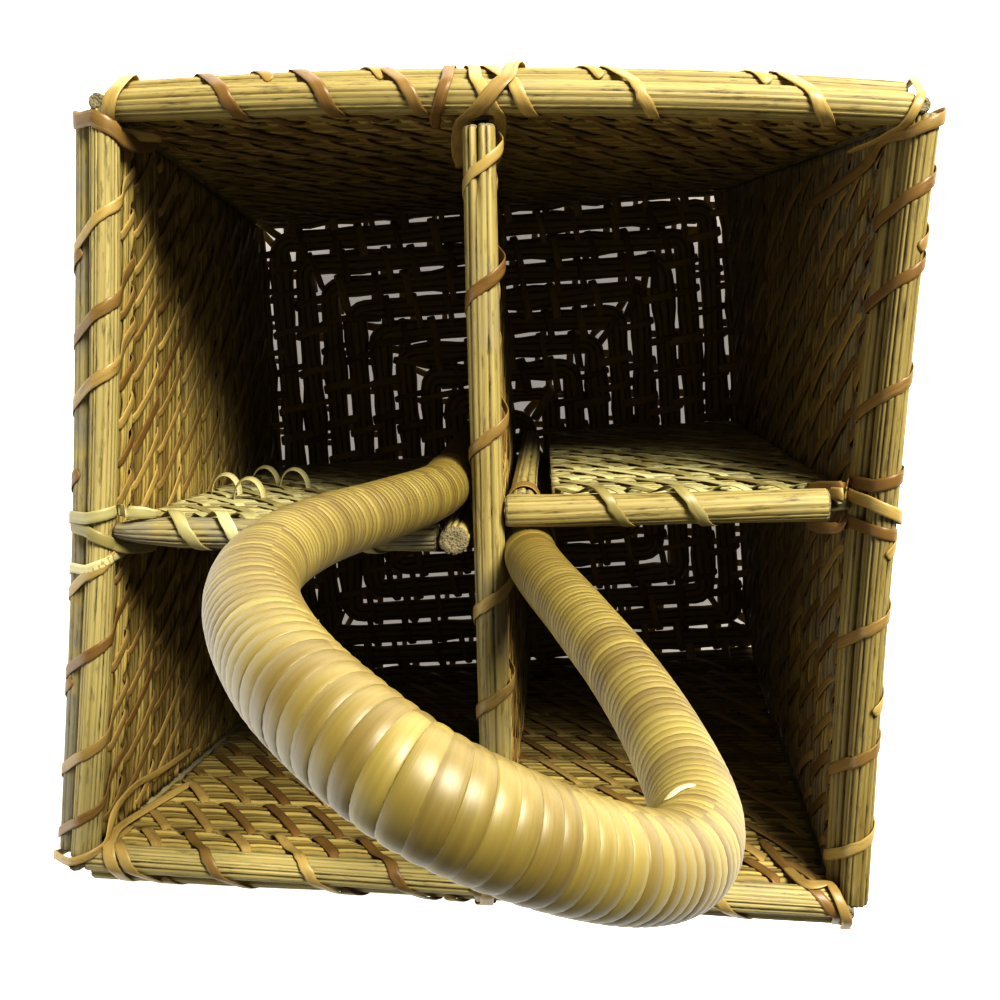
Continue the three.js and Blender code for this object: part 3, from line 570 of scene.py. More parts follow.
def flat_cane(colours):
    # Peeled cane skin: smooth, olive tan to brown, with a low gloss
    return fibrous("peeled_flat_cane", colours, colours.cane_light, colours.cane_dark,
                   specks=0.3, roughness=0.42, grey_from=0.7, **CANE_SKIN)


def wound_cane(colours):
    # Polished cane skin wound tight: golden, under a soft broad gloss, with darker turns here and there
    return fibrous("polished_wound_cane", colours, colours.winding_light, colours.winding_dark,
                   streak_length=40 * MM, streak_width=0.5 * MM, streak_share=0.5, specks=0.1,
                   relief=0.08 * MM, roughness=0.5, ior=1.6, grey_from=0.75, coat=0.85,
                   coat_roughness=0.48)


def bare_pole(colours):
    # Peeled rattan pole: brown, matt, faintly streaked
    return fibrous("peeled_rattan_pole", colours, colours.winding_dark, colours.pole_bark,
                   streak_width=1.2 * MM, roughness=0.6)


# Pores of a sawn end: how far apart they are, and how deep their relief is
PORE_SPACING = 0.55 * MM
PORE_RELIEF = 0.3 * MM


def end_grain(colours):
    # Sawn end of old rattan: greyish pith, matt and full of dark pores
    material, tree = new_material("sawn_rattan_end")
    place = add_node(tree, "ShaderNodeTexCoord").outputs["Object"]
    pores = add_node(tree, "ShaderNodeTexVoronoi", {"Vector": place, "Scale": 1 / PORE_SPACING}).outputs[0]
    open_pores = add_node(tree, "ShaderNodeMapRange", {
        "Value": pores, "From Min": 0.1, "From Max": 0.5, "To Min": 0.75, "To Max": 0.0}).outputs[0]
    pith = add_node(tree, "ShaderNodeMix", {
        0: 0.5, MIX_A: colours.reed_dark, MIX_B: colours.weathered}, data_type="RGBA")
    skin = add_node(tree, "ShaderNodeMix", {
        0: open_pores, MIX_A: pith.outputs[MIX_RESULT], MIX_B: colours.crease}, data_type="RGBA")
    relief = add_node(tree, "ShaderNodeBump", {
        "Height": pores, "Distance": PORE_RELIEF, "Strength": RELIEF_STRENGTH}).outputs[0]
    shader = add_node(tree, "ShaderNodeBsdfPrincipled", {
        "Base Color": skin.outputs[MIX_RESULT], "Roughness": 0.8, "Normal": relief})
    add_node(tree, "ShaderNodeOutputMaterial", {"Surface": shader.outputs[0]})
    return material


def side(name, out, rim_outer, wall_axis, cross_axis, inner_is_high, sizes):
    """One side of the basket. Along runs clockwise seen from above."""
    out = np.array([*out, 0.0])
    high_z = RIM_TOP - sizes.reed / 2
    step = sizes.rim_step + OUTER_STANDOFF[name]
    low_z = high_z - math.sqrt((sizes.reed - REED_NESTLE) ** 2 - step ** 2)
    outer = (rim_outer + OUTER_STANDOFF[name], low_z if inner_is_high else high_z, sizes.reed / 2)
    inner = (rim_outer - sizes.rim_step, high_z if inner_is_high else low_z, sizes.reed / 2)
    return SimpleNamespace(name=name, out=out, along=np.cross(out, UP), rim_outer=rim_outer,
                           wall_axis=wall_axis, wall_end=cross_axis - sizes.bundle / 2 - SEAT_GAP,
                           reed_end=cross_axis - sizes.reed / 2 - SEAT_GAP + REED_REACH,
                           reeds=[outer, inner])


def all_sides(sizes):
    """The four sides by name, laid out square round the middle."""
    rim_x = (sizes.rim_width - sizes.reed) / 2
    rim_y = (sizes.rim_length - sizes.reed) / 2
    wall_x = rim_x - sizes.rim_step
    wall_y = rim_y - sizes.rim_step
    return {
        "north": side("north", (0, 1), rim_y, wall_y, wall_x, True, sizes),
        "east": side("east", (1, 0), rim_x, wall_x, wall_y, False, sizes),
        "south": side("south", (0, -1), rim_y, wall_y, wall_x, True, sizes),
        "west": side("west", (-1, 0), rim_x, wall_x, wall_y, True, sizes),
    }


def on_side(at, a, o, z):
    """Points so far along a side, so far out from the middle and so high."""
    a, o, z = np.broadcast_arrays(a, o, z)
    return a[..., None] * at.along + o[..., None] * at.out + z[..., None] * UP


def inner_edges(sizes):
    """How far the rim's inner reeds leave free from the middle, to the east and to the north."""
    sides = all_sides(sizes)
    return sides["east"].wall_axis - sizes.reed / 2, sides["north"].wall_axis - sizes.reed / 2


def centre_posts(sizes):
    """How far east the two stakes stand that carry the handle's legs."""
    apart = (sizes.bundle + sizes.reed) / 2 + CANE_PASSAGE
    return {"east": LONG_OFFSET + apart, "west": LONG_OFFSET - apart}


def all_panels(sizes):
    """The four walls and three dividers: where each stands, its reeds on top and its wraps' places."""
    sides = all_sides(sizes)
    north, east = sides["north"], sides["east"]
    rod_z = RIM_TOP - sizes.rod / 2
    inner_x, inner_y = inner_edges(sizes)
    posts = centre_posts(sizes)
    beside = sizes.pole / 2 + CANE_PASSAGE
    panels = [SimpleNamespace(
        name=name, node=f"wall_{name}", side=at, start=-at.wall_end, end=at.wall_end,
        offset=at.wall_axis, top=WALL_TOP + WALL_CLIMB, turn=0.0, slack=0.0, reeds=at.reeds,
        wraps=RIM_WRAPS[name], ties=OUTER_TIES[name]) for name, at in sides.items()]

    def divider(name, at, start, end, offset, turn):
        return SimpleNamespace(
            name=name, node=f"divider_{name}", side=at, start=start, end=end, offset=offset,
            top=DIVIDER_TOP + DIVIDER_CLIMB, turn=turn, slack=DIVIDER_SLACK,
            reeds=[(offset, rod_z, sizes.rod / 2)], wraps=ROD_WRAPS[name], ties=[])

    return panels + [
        divider("long", east, -inner_y + SEAT_GAP, inner_y - SEAT_GAP, LONG_OFFSET, LONG_TURN),
        divider("east", north, posts["east"] + beside, inner_x - SEAT_GAP, EAST_OFFSET, EAST_TURN),
        divider("west", north, -inner_x + SEAT_GAP, posts["west"] - beside, WEST_OFFSET, WEST_TURN),
    ]


# A wrap's run along the rim over its round top, for each unit of its own length
WRAP_SLANT = 0.62
# Room between a strip and the reed under it
WRAP_GAP = 0.15 * MM
# A wrap keeps this far from its panel's ends
WRAP_MARGIN = 1.5 * MM
# How far along a strip has moved from the top of its wrap to the top of the panel
WRAP_LEAD = 7 * MM


def strip_lines(panel, facing, weave):
    """Places at the panel's top where strips of one face start, their numbers, and which are wraps.

    Wraps take even numbers, and the stretch between two wraps holds an even count of steps near the
    strip spacing. Beyond the last wraps the spacing carries on, past the panel by the strips' run.
    """
    run = weave.slant * (panel.top - WALL_FOOT)
    wraps = sorted(-facing * place * MM + WRAP_LEAD for place in panel.wraps)
    pair = 2 * weave.spacing
    places = [wraps[0]]
    kinds = [True]
    for before, after in zip(wraps, wraps[1:]):
        steps = 2 * max(round((after - before) / pair), 1)
        places += list(np.linspace(before, after, steps + 1)[1:])
        kinds += [False] * (steps - 1) + [True]
    low, high = sorted((-facing * panel.start, -facing * panel.end))
    first = 2 * math.ceil((places[0] - low + run) / pair)
    last = 2 * math.ceil((high - places[-1]) / pair)
    places = ([places[0] - weave.spacing * i for i in range(first, 0, -1)] + places
              + [places[-1] + weave.spacing * i for i in range(1, last + 1)])
    kinds = [False] * first + kinds + [False] * last
    return SimpleNamespace(places=np.array(places), numbers=np.arange(len(places)),
                           wraps=np.array(kinds), low=low, high=high)


# A panel's relief: its faces lie in a little, so that the cane over them comes out flush
FACE_INSET = 0.4 * MM
GROOVE_DEPTH = 0.8 * MM
STRAND_CREASE = 0.45 * MM
PRESS = 0.15 * MM
HOLE_DEPTH = 2.2 * MM
HOLE_WIDE = 2.3 * MM
HOLE_TALL = 1.5 * MM
# How far the hole under a strip that dives opens beside its line
HOLE_ASIDE = 2.2 * MM
# Steps across a strand, and from one station to the next along a panel
STRAND_STEPS = 4
STATION_STEP = 1.75 * MM
# Powers that round off a strand's half sine and a row's, and that narrow the painted shade between strands
STRAND_POWER = 0.7
ROW_POWER = 0.5
CREASE_SHADE_POWER = 1.5
# How dark the painted shadow in a hole is against the painted shade between strands
HOLE_SHADOW = 1.3
# Lengths of the waves in which strands stray, the share that the second wave adds, and a row's share
STRAY_WAVES = (28 * MM, 90 * MM)
SECOND_WAVE = 0.4
ROW_STRAY = 0.6
# How much flatter or fuller than the rest a strand may be
PLUMPNESS = (-0.15 * MM, 0.2 * MM)
# Tones of a panel's top and foot, and of its ends
EDGE_TONE = 0.5
CAP_TONE = 0.3


def weave_phase(lines, s, depth, weave):
    """Number of the strip line through each place, and how far it shows there: the product of the
    cosines of the number and of the depth in floats, one where a strip lies on this face."""
    number = np.interp(s - weave.slant * depth, lines.places, lines.numbers)
    return number, np.cos(np.pi * number) * np.cos(np.pi * depth / weave.float_height)


def panel_face(panel, facing, sizes, weave, rng, stations):
    """Places along, heights above the middle plane and upright places of one face of a panel.

    A row is a swell of strands, each a half sine between two creases that wander along the panel.
    The whole face gives way under strips and swells between them, and opens where they dive.
    """
    rows = round((panel.top - WALL_FOOT) / sizes.row_pitch)
    bounds = rows * weave.strands + 1
    s = -facing * stations
    phases = rng.uniform(0, 2 * np.pi, (2, bounds, 1))
    waves = rng.uniform(*STRAY_WAVES, (2, bounds, 1))
    stray = (np.sin(2 * np.pi * s / waves[0] + phases[0])
             + SECOND_WAVE * np.sin(4 * np.pi * s / waves[1] + phases[1]))
    reach = np.full((bounds, 1), weave.wander)
    reach[::weave.strands] *= ROW_STRAY
    reach[[0, -1]] = 0
    z_bounds = np.linspace(WALL_FOOT, panel.top, bounds)[:, None] + stray * reach
    place = np.arange((bounds - 1) * STRAND_STEPS + 1) / STRAND_STEPS
    strand = np.minimum(place.astype(int), bounds - 2)
    within = (place - strand)[:, None]
    z = z_bounds[strand] * (1 - within) + z_bounds[strand + 1] * within
    row_share = ((place / weave.strands) % 1)[:, None]
    lobes = np.sin(np.pi * within) ** STRAND_POWER
    swell = GROOVE_DEPTH * np.sin(np.pi * row_share) ** ROW_POWER
    plump = rng.uniform(*PLUMPNESS, (bounds, 1))[strand]
    deepest = sizes.bundle / 2 - FACE_INSET - GROOVE_DEPTH - STRAND_CREASE
    height = deepest + swell + (STRAND_CREASE + plump) * lobes
    lines = strip_lines(panel, facing, weave)
    depth = panel.top - z
    number, shown = weave_phase(lines, s, depth, weave)
    halves = depth / weave.float_height - 0.5
    across = (number - np.round(number)) * weave.spacing - HOLE_ASIDE
    below = (halves - np.round(halves)) * weave.float_height
    sinks = (np.round(number) + np.round(halves)) % 2 == 0
    hole = np.exp(-(across / HOLE_WIDE) ** 2 - (below / HOLE_TALL) ** 2) * sinks
    height = height - PRESS * shown - HOLE_DEPTH * hole
    # Painted shade between the strands, and painted shadow in the holes where strips dive
    crease = np.clip((1 - lobes) ** CREASE_SHADE_POWER + HOLE_SHADOW * hole, 0, 1)
    return s, height, z, crease, rng.uniform(0, 1, bounds - 1)


def panel_shell(panel, sizes, weave, rng):
    """One closed panel: up its outward face, over the top, down its inward face and under the foot."""
    count = round((panel.end - panel.start) / STATION_STEP)
    stations = np.linspace(panel.start, panel.end, count)
    faces = [panel_face(panel, facing, sizes, weave, rng, stations) for facing in (1, -1)]
    out, inward = faces
    o = np.concatenate([panel.offset + out[1], (panel.offset - inward[1])[::-1]]).T
    z = np.concatenate([out[2], inward[2][::-1]]).T
    crease = np.concatenate([out[3], inward[3][::-1]]).T
    points = lean(on_side(panel.side, stations[:, None], o, z), sizes, panel.turn)
    half = len(out[1])
    around = 2 * half
    index = np.arange(count * around).reshape(count, around)
    beside = np.roll(index, -1, axis=1)
    quads = np.stack([index[:-1], beside[:-1], beside[1:], index[1:]], axis=-1)
    up_face = np.arange(half - 1)
    partner = around - 1 - up_face
    cap = np.stack([up_face, up_face + 1, partner - 1, partner], axis=-1)
    caps = np.concatenate([index[0][cap[:, ::-1]], index[-1][cap]])
    u = np.broadcast_to(stations[:, None], z.shape).ravel()
    corners = np.concatenate([quads.reshape(-1, 4), caps])
    uv = np.stack([u[corners], z.ravel()[corners]], axis=-1)
    strand_tones = [np.repeat(face[4], STRAND_STEPS) for face in faces]
    ring_tones = np.concatenate([strand_tones[0], [EDGE_TONE], strand_tones[1][::-1], [EDGE_TONE]])
    tone = np.concatenate([np.tile(ring_tones, count - 1), np.full(len(caps), CAP_TONE)])
    return SimpleNamespace(points=points.reshape(-1, 3), crease=crease.ravel(), corners=corners.ravel(),
                           sizes=np.full(len(corners), 4), uv=uv.reshape(-1, 2), tone=tone,
                           material=np.zeros(len(corners), int))


# Floats: the run in which one rises onto the rows, how far it goes on under them, how far its deep end
# curls along the panel, and the shares between which that and its width vary
FLOAT_STATIONS = 14
FLOAT_RISE = 2.6 * MM
FLOAT_TUCK = 1.6 * MM
FLOAT_CURL = 1.3 * MM
CURL_SHARES = (0.5, 1.4)
WIDTH_SHARES = (0.82, 1.12)
# The mean and the spread of its slack, and the spreads of its place and of its tone
FLOAT_SLACK = (0.15 * MM, 0.2 * MM)
FLOAT_STRAY = 0.3 * MM
TONE_STRAY = 0.08
# How near the panel's ends a line of floats may come, how near any strip may, and the shortest float
LINE_MARGIN = 1.2 * MM
EDGE_MARGIN = 0.5 * MM
SHORTEST_FLOAT = 6 * MM
# Share of its width that a strip keeps where it dives
DIVE_WIDTH = 0.6


def weave_strips(panel, facing, sizes, weave, rng):
    """Flat cane floats on one face: each lies over the rows of half a weave period and dives at its ends.

    A float runs down its slanted line and curls at its deep end, rises from the middle of the panel to
    lie on the rows, and narrows where it dives. A wrap's line leaves its uppermost float to the wrap.
    """
    lines = strip_lines(panel, facing, weave)
    floats = np.arange(0, math.ceil((panel.top - WALL_FOOT) / weave.float_height) + 1)
    number, level = np.meshgrid(lines.numbers, floats, indexing="ij")
    kept = (number + level) % 2 == 0
    kept &= ~((level == 0) & lines.wraps[number])
    number, level = number[kept], level[kept]
    top = np.maximum((level - 0.5) * weave.float_height, 0) - FLOAT_TUCK
    foot = np.minimum((level + 0.5) * weave.float_height, panel.top - WALL_FOOT) + FLOAT_TUCK
    start = lines.places[number]
    top = np.maximum(top, (lines.low + LINE_MARGIN - start) / weave.slant)
    foot = np.minimum(foot, (lines.high - LINE_MARGIN - start) / weave.slant)
    foot = np.minimum(foot, panel.top - WALL_FOOT - EDGE_MARGIN)
    kept = foot - top > SHORTEST_FLOAT
    number, top, foot, start = number[kept], top[kept], foot[kept], start[kept]
    count = len(number)
    share = np.linspace(0, 1, FLOAT_STATIONS)
    depth = top[:, None] + (foot - top)[:, None] * share
    curl = FLOAT_CURL * rng.uniform(*CURL_SHARES, (count, 1))
    stray = rng.normal(0, FLOAT_STRAY, (count, 1))
    s = start[:, None] + weave.slant * depth + curl * share ** 3 + stray
    s = np.clip(s, lines.low + EDGE_MARGIN, lines.high - EDGE_MARGIN)
    from_end = np.minimum(depth - depth[:, :1], depth[:, -1:] - depth)
    rise = smooth_step(from_end / FLOAT_RISE)
    slack = np.abs(rng.normal(*FLOAT_SLACK, (count, 1))) + panel.slack * (top[:, None] < FLOAT_RISE)
    loose = slack * np.sin(np.pi * share) ** 2
    height = rise * (sizes.bundle / 2 - FACE_INSET - PRESS / 2 + weave.cane_thickness / 2) + loose
    centres = on_side(panel.side, -facing * s, panel.offset + facing * height, panel.top - depth)
    faces = np.broadcast_to(facing * panel.side.out, centres.shape)
    narrowed = DIVE_WIDTH + (1 - DIVE_WIDTH) * rise
    width = weave.cane_width * rng.uniform(*WIDTH_SHARES, (count, 1)) * narrowed
    line_tone = rng.uniform(0, 1, len(lines.numbers))
    tone = np.clip(line_tone[number] + rng.normal(0, TONE_STRAY, count), 0, 1)
    points = ribbon(centres, faces, width, weave.cane_thickness)
    return tubes(lean(points, sizes, panel.turn), tone)


def over_reeds(reeds, weave, degrees, lift=0.0):
    """Places out and up of a strip pulled over reeds, and the ways that it faces there.

    Towards each angle the strip touches whichever reed reaches furthest that way.
    """
    angle = np.radians(degrees)
    way = np.stack([np.cos(angle), np.sin(angle)], axis=1)
    reeds = np.array(reeds)
    touched = reeds[np.argmax(way @ reeds[:, :2].T + reeds[:, 2], axis=1)]
    reach = touched[:, 2:] + weave.cane_thickness / 2 + WRAP_GAP + np.asarray(lift)[..., None]
    return touched[:, :2] + way * reach, way


# Angles at which a wrap, a tie and a lashing are led over the reeds
WRAP_ANGLES = np.arange(-15, 196, 15)
TIE_ANGLES = np.arange(-60, 86, 15)
LASHING_ANGLES = np.arange(0, 181, 20)
# A wrap's tails: the least and most that they reach down in half floats, the shares of that at which they
# lie on the panel, and how deep in the bundle they end
TAIL_SHARES = (0.95, 1.2)
TAIL_LIES = (0.15, 0.5, 0.82)
TAIL_DEPTH = 0.3
# Spreads of a wrap's place and of its own wandering, and a tie's run along the rim
WRAP_STRAY = 0.4 * MM
WRAP_WANDER = 0.15 * MM
TIE_RUN = 7 * MM
# Stations of a wrap, a tie and a lashing
WRAP_STATIONS = 44
TIE_STATIONS = 20
LASHING_STATIONS = 50
# The way that a lashing's inner tail faces, out and up
TAIL_FACING = (-0.8, 0.6)
# A routed strip's width: the shares between which it varies, and the share of its run where it narrows
STRIP_WIDTHS = (0.9, 1.12)
NARROWING = 0.08


def wrap_route(panel, place, sizes, weave, reach):
    """Keys of one wrap: along, out, up, and the way it faces, from the outward tail over to the inward.

    It moves along the rim by a share of its own length, which differs between its round top and tails.
    """
    bulge = panel.slack * np.clip(np.cos(np.radians(WRAP_ANGLES)), 0, 1)
    over, way = over_reeds(panel.reeds, weave, WRAP_ANGLES, bulge)
    lie = sizes.bundle / 2 - FACE_INSET + weave.cane_thickness / 2 + panel.slack / 2

    def tail(facing):
        keys = [(panel.offset + facing * lie, panel.top - share * reach) for share in TAIL_LIES]
        keys.append((panel.offset + facing * TAIL_DEPTH * sizes.bundle, panel.top - reach))
        return np.array(keys), np.tile((facing, 0), (len(keys), 1))

    outward, outward_face = tail(1)
    inward, inward_face = tail(-1)
    section = np.vstack([outward[::-1], over, inward])
    facing = np.vstack([outward_face, way, inward_face])
    steps = np.linalg.norm(np.diff(section, axis=0), axis=1)
    number = np.arange(len(steps))
    round_top = (number >= len(outward)) & (number < len(steps) - len(inward))
    moved = np.concatenate([[0], np.cumsum(steps * np.where(round_top, WRAP_SLANT, weave.slant))])
    along = place + moved - moved[len(outward) + len(over) // 2]
    return np.column_stack([along, section, facing])


def tie_route(panel, place, weave):
    """Keys of a short strip over the outer reed alone, tucked in under it and between the reeds."""
    over, way = over_reeds(panel.reeds[:1], weave, TIE_ANGLES)
    along = place + np.linspace(-0.5, 0.5, len(over)) * TIE_RUN
    return np.column_stack([along, over, way])


def lash_route(panel, lashing, sizes, weave):
    """Keys of a lashing: out of the weave under the rim, over the reeds, and on through its inner tail."""
    start, end, inner, lift, _ = lashing
    over, way = over_reeds(panel.reeds, weave, LASHING_ANGLES, lift * MM)
    top = np.column_stack([np.linspace(start, end, len(over)) * MM, over, way])
    lie = panel.offset + sizes.bundle / 2
    foot = min(max(start * MM, -LASHING_CORNER), LASHING_CORNER)
    tucked = [foot, lie, panel.top - LASHING_TUCK, 1, 0]
    leaving = [(foot + start * MM) / 2, lie + WRAP_GAP, panel.top - LASHING_TUCK / 2, 1, 0]
    tail = np.array([(*place, 0, 0) for place in inner]) * MM
    tail[:, 3:] = TAIL_FACING
    return np.vstack([tucked, leaving, top, tail])


def routed_strip(panel, keys, sizes, weave, rng, count=WRAP_STATIONS, width_share=1.0):
    """A strip along keys of a panel's frame, narrowed at both ends, with a tone of its own."""
    route = evenly(keys, count)
    centres = on_side(panel.side, route[:, 0], route[:, 1], route[:, 2])
    faces = unit(on_side(panel.side, 0, route[:, 3], route[:, 4]))
    share = np.linspace(0, 1, count)
    taper = DIVE_WIDTH + (1 - DIVE_WIDTH) * smooth_step(np.minimum(share, 1 - share) / NARROWING)
    width = weave.cane_width * rng.uniform(*STRIP_WIDTHS) * width_share * taper
    points = lean(ribbon(centres, faces, width, weave.cane_thickness), sizes, panel.turn)
    return tubes(points[None], rng.uniform(0, 1, 1))


def top_wraps(panel, sizes, weave, rng):
    """The strips that climb out of the weave, over the reeds on top, and back into the weave."""
    blocks = []
    for place in panel.wraps:
        reach = weave.float_height / 2 * rng.uniform(*TAIL_SHARES)
        keys = wrap_route(panel, place * MM + rng.normal(0, WRAP_STRAY), sizes, weave, reach)
        keys[:, 0] += rng.normal(0, WRAP_WANDER, len(keys))
        keys[:, 0] = np.clip(keys[:, 0], panel.start + WRAP_MARGIN, panel.end - WRAP_MARGIN)
        blocks.append(routed_strip(panel, keys, sizes, weave, rng))
    for place in panel.ties:
        keys = tie_route(panel, place * MM, weave)
        blocks.append(routed_strip(panel, keys, sizes, weave, rng, TIE_STATIONS))
    return blocks


def lashed(panel, lashings, sizes, weave, rng):
    """A strip for each lashing of one panel."""
    return [routed_strip(panel, lash_route(panel, lashing, sizes, weave), sizes, weave, rng,
                         LASHING_STATIONS, lashing[-1]) for lashing in lashings]


# Section of a split reed: points to a flute, the power that rounds it, and how its width and depth vary
FLUTE_POINTS = 5
FLUTE_POWER = 0.6
FLUTE_WIDTHS = (0.45, 1.6)
FLUTE_DEPTHS = (0.15, 1.6)
# Its sawn end: shares of the radius, and how deep the end is there
END_SCALES = [0.06, 0.55, 0.93]
END_DEPTHS = [0.35 * MM, 0.2 * MM, 0.0]
# Its length: how far from its ends the stations start, from one station to the next, the swell's share of
# the radius and its waves, and in radians how far round the flutes lie at the start and drift to the end
REED_MARGIN = 0.5 * MM
REED_STATION = 5 * MM
REED_SWELL = 0.02
SWELL_WAVES = (60 * MM, 120 * MM)
FLUTE_PLACES = (-0.5, 0.5)
FLUTE_DRIFTS = (-0.6, 0.6)
# Its bend: half waves over its length, and the share that goes sideways
BEND_WAVES = (0.8, 2.2)
SIDE_BEND = 0.6
# Shares of the radius for shares of the length: a post's worn head and the whittled end of the west rod
POST_TAPER = [(0, 1), (0.93, 1), (0.96, 0.75), (1, 0.5)]
WEST_ROD_TAPER = [(0, 0.45), (0.06, 0.75), (0.2, 1), (1, 0.97)]
# How light each side's reeds and each rod are, from dark to light, and how far a reed strays from that
REED_TONES = {"north": 0.3, "east": 0.05, "south": 0.6, "west": 0.6}
ROD_TONES = {"long": 0.35, "east": 0.35, "west": 0.35}
REED_TONE_STRAY = 0.1
# Flutes of the posts and stakes, which are coarser than the rim's
POST_FLUTES = 10
# The long rod's split end: way round, share of the length where it ends, depth, and width in radians
LONG_ROD_CRACK = (math.pi * 0.55, 0.09, 2.6 * MM, 0.16)


def fluted_reed(start, end, radius, rng, flutes=15, flute_depth=0.34 * MM, sag=0.35 * MM, taper=None,
                crack=None):
    """A round reed with flutes: between creases the section is a row of half sines raised to a low power.

    The creases wander slowly round the reed, and each end is sawn, slightly hollow, with a worn edge.
    A crack is told as (way round, share of the length where it ends, depth, width).
    """
    start, end = np.asarray(start, float), np.asarray(end, float)
    run = np.linalg.norm(end - start)
    count = round(run / REED_STATION)
    axial = np.concatenate([END_DEPTHS, np.linspace(REED_MARGIN, run - REED_MARGIN, count),
                            run - np.array(END_DEPTHS[::-1])])
    scale = np.concatenate([END_SCALES, np.ones(count), END_SCALES[::-1]])
    if taper:
        scale = scale * np.interp(axial / run, *zip(*taper))
    forward = (end - start) / run
    aside = unit(np.cross(UP if abs(forward[2]) < 0.9 else np.array([1.0, 0, 0]), forward))
    above = np.cross(forward, aside)
    bounds = np.cumsum([0, *rng.uniform(*FLUTE_WIDTHS, flutes)])
    place = np.arange(flutes * FLUTE_POINTS) / FLUTE_POINTS
    angle = np.interp(place, np.arange(flutes + 1), bounds) / bounds[-1] * 2 * np.pi
    lobes = np.sin(np.pi * (place % 1)) ** FLUTE_POWER
    drift = rng.uniform(*FLUTE_PLACES) + rng.uniform(*FLUTE_DRIFTS) * axial / run
    turn = angle + drift[:, None]
    flute_size = rng.uniform(*FLUTE_DEPTHS, flutes).repeat(FLUTE_POINTS)
    swell = REED_SWELL * np.sin(2 * np.pi * axial / rng.uniform(*SWELL_WAVES) + rng.uniform(0, 6))
    reach = radius * (1 + swell)[:, None] - flute_depth * flute_size * (1 - lobes)
    if crack:
        way, last_share, deep, wide = crack
        gap = np.angle(np.exp(1j * (turn - way)))
        open_share = np.clip(1 - (axial / run) / last_share, 0, 1)[:, None]
        reach = reach - deep * np.exp(-(gap / wide) ** 2) * open_share ** 0.5
    reach = reach * scale[:, None]
    bend = sag * np.sin(np.pi * axial / run * rng.uniform(*BEND_WAVES) + rng.uniform(0, 3))
    centre = (start + axial[:, None] * forward + bend[:, None] * above
              + SIDE_BEND * bend[::-1, None] * aside)
    points = (centre[:, None] + reach[..., None] * (np.cos(turn)[..., None] * aside
                                                    + np.sin(turn)[..., None] * above))
    # Painted shade in the creases between flutes, darker in the deeper flutes
    crease = np.broadcast_to((1 - lobes) ** 2 * np.clip(flute_size, 0.2, 1), reach.shape)
    return points[None], crease[None]


def reed_block(panel_turn, sizes, rng, start, end, radius, tone=0.5, **shape):
    """A fluted reed, leaned with its panel, a little lighter or darker than its tone."""
    points, crease = fluted_reed(start, end, radius, rng, **shape)
    own_tone = tone + rng.uniform(-REED_TONE_STRAY, REED_TONE_STRAY, 1)
    return tubes(lean(points, sizes, panel_turn), own_tone, crease, len(END_SCALES))


class CaddyPiece:
    """What every operator of the caddy shares: its sizes, weave, colours and seeded draws."""

    bl_options = {"REGISTER", "UNDO"}

    def settings(self, context, seed):
        """The sizes, the weave, the colours, and draws of this operator's own."""
        scene = context.scene
        return scene.caddy_sizes, scene.caddy_weave, scene.caddy_colours, np.random.default_rng(seed)


# Loose rings of cane: how wide they are, how far they stand off, and how far each end is off the middle's
# height
RING_WIDTH = 10 * MM
RING_REACH = 6 * MM
RING_CLIMB = 2 * MM
# Their stations, the half turns between which they run, how far up they face, and their tones
RING_STATIONS = 24
RING_TURNS = (-0.1, 1.1)
RING_FACING_UP = 0.35
RING_TONES = (0.4, 1)


def loose_ring(panel, place, height, sizes, weave, rng):
    """A half ring of cane that stands off a panel's outward face, its flat side turned along the panel."""
    angle = np.linspace(*RING_TURNS, RING_STATIONS) * np.pi
    way = np.stack([-np.cos(angle), np.sin(angle)], axis=1)
    stand = sizes.bundle / 2 - FACE_INSET
    centres = on_side(panel.side, place + RING_WIDTH / 2 * way[:, 0],
                      panel.offset + stand + RING_REACH * way[:, 1], height + RING_CLIMB * way[:, 0])
    faces = on_side(panel.side, way[:, 0], way[:, 1], RING_FACING_UP)
    points = ribbon(centres, faces, np.full(len(angle), weave.cane_width), weave.cane_thickness)
    return tubes(lean(points, sizes, panel.turn)[None], rng.uniform(*RING_TONES, 1))


# What some panels' strands and strips are made of, with the painted grey sheen on the east wall's strands
PANEL_STUFF = {
    "wall_east": (sheen_greyed_bundle, flat_cane),
    "divider_east": (bleached_bundle, bleached_cane),
    "divider_west": (bleached_bundle, bleached_cane),
}


class CADDY_OT_panels(CaddyPiece, bpy.types.Operator):
    """Weaves the four walls and the three dividers"""

    bl_idname = "caddy.panels"
    bl_label = "Woven panels"

    def execute(self, context):
        sizes, weave, colours, rng = self.settings(context, 11)
        for panel in all_panels(sizes):
            bundle, cane = PANEL_STUFF.get(panel.node, (reed_bundle, flat_cane))
            add_piece(f"strands_{panel.node}", [panel_shell(panel, sizes, weave, rng)],
                      [bundle(colours)], [panel.node])
            strips = [weave_strips(panel, facing, sizes, weave, rng) for facing in (1, -1)]
            if panel.node == "divider_west":
                strips += [loose_ring(panel, place * MM, height * MM, sizes, weave, rng)
                           for place, height in LOOSE_RINGS]
            add_piece(f"floats_{panel.node}", strips, [cane(colours)], [])
        return {"FINISHED"}


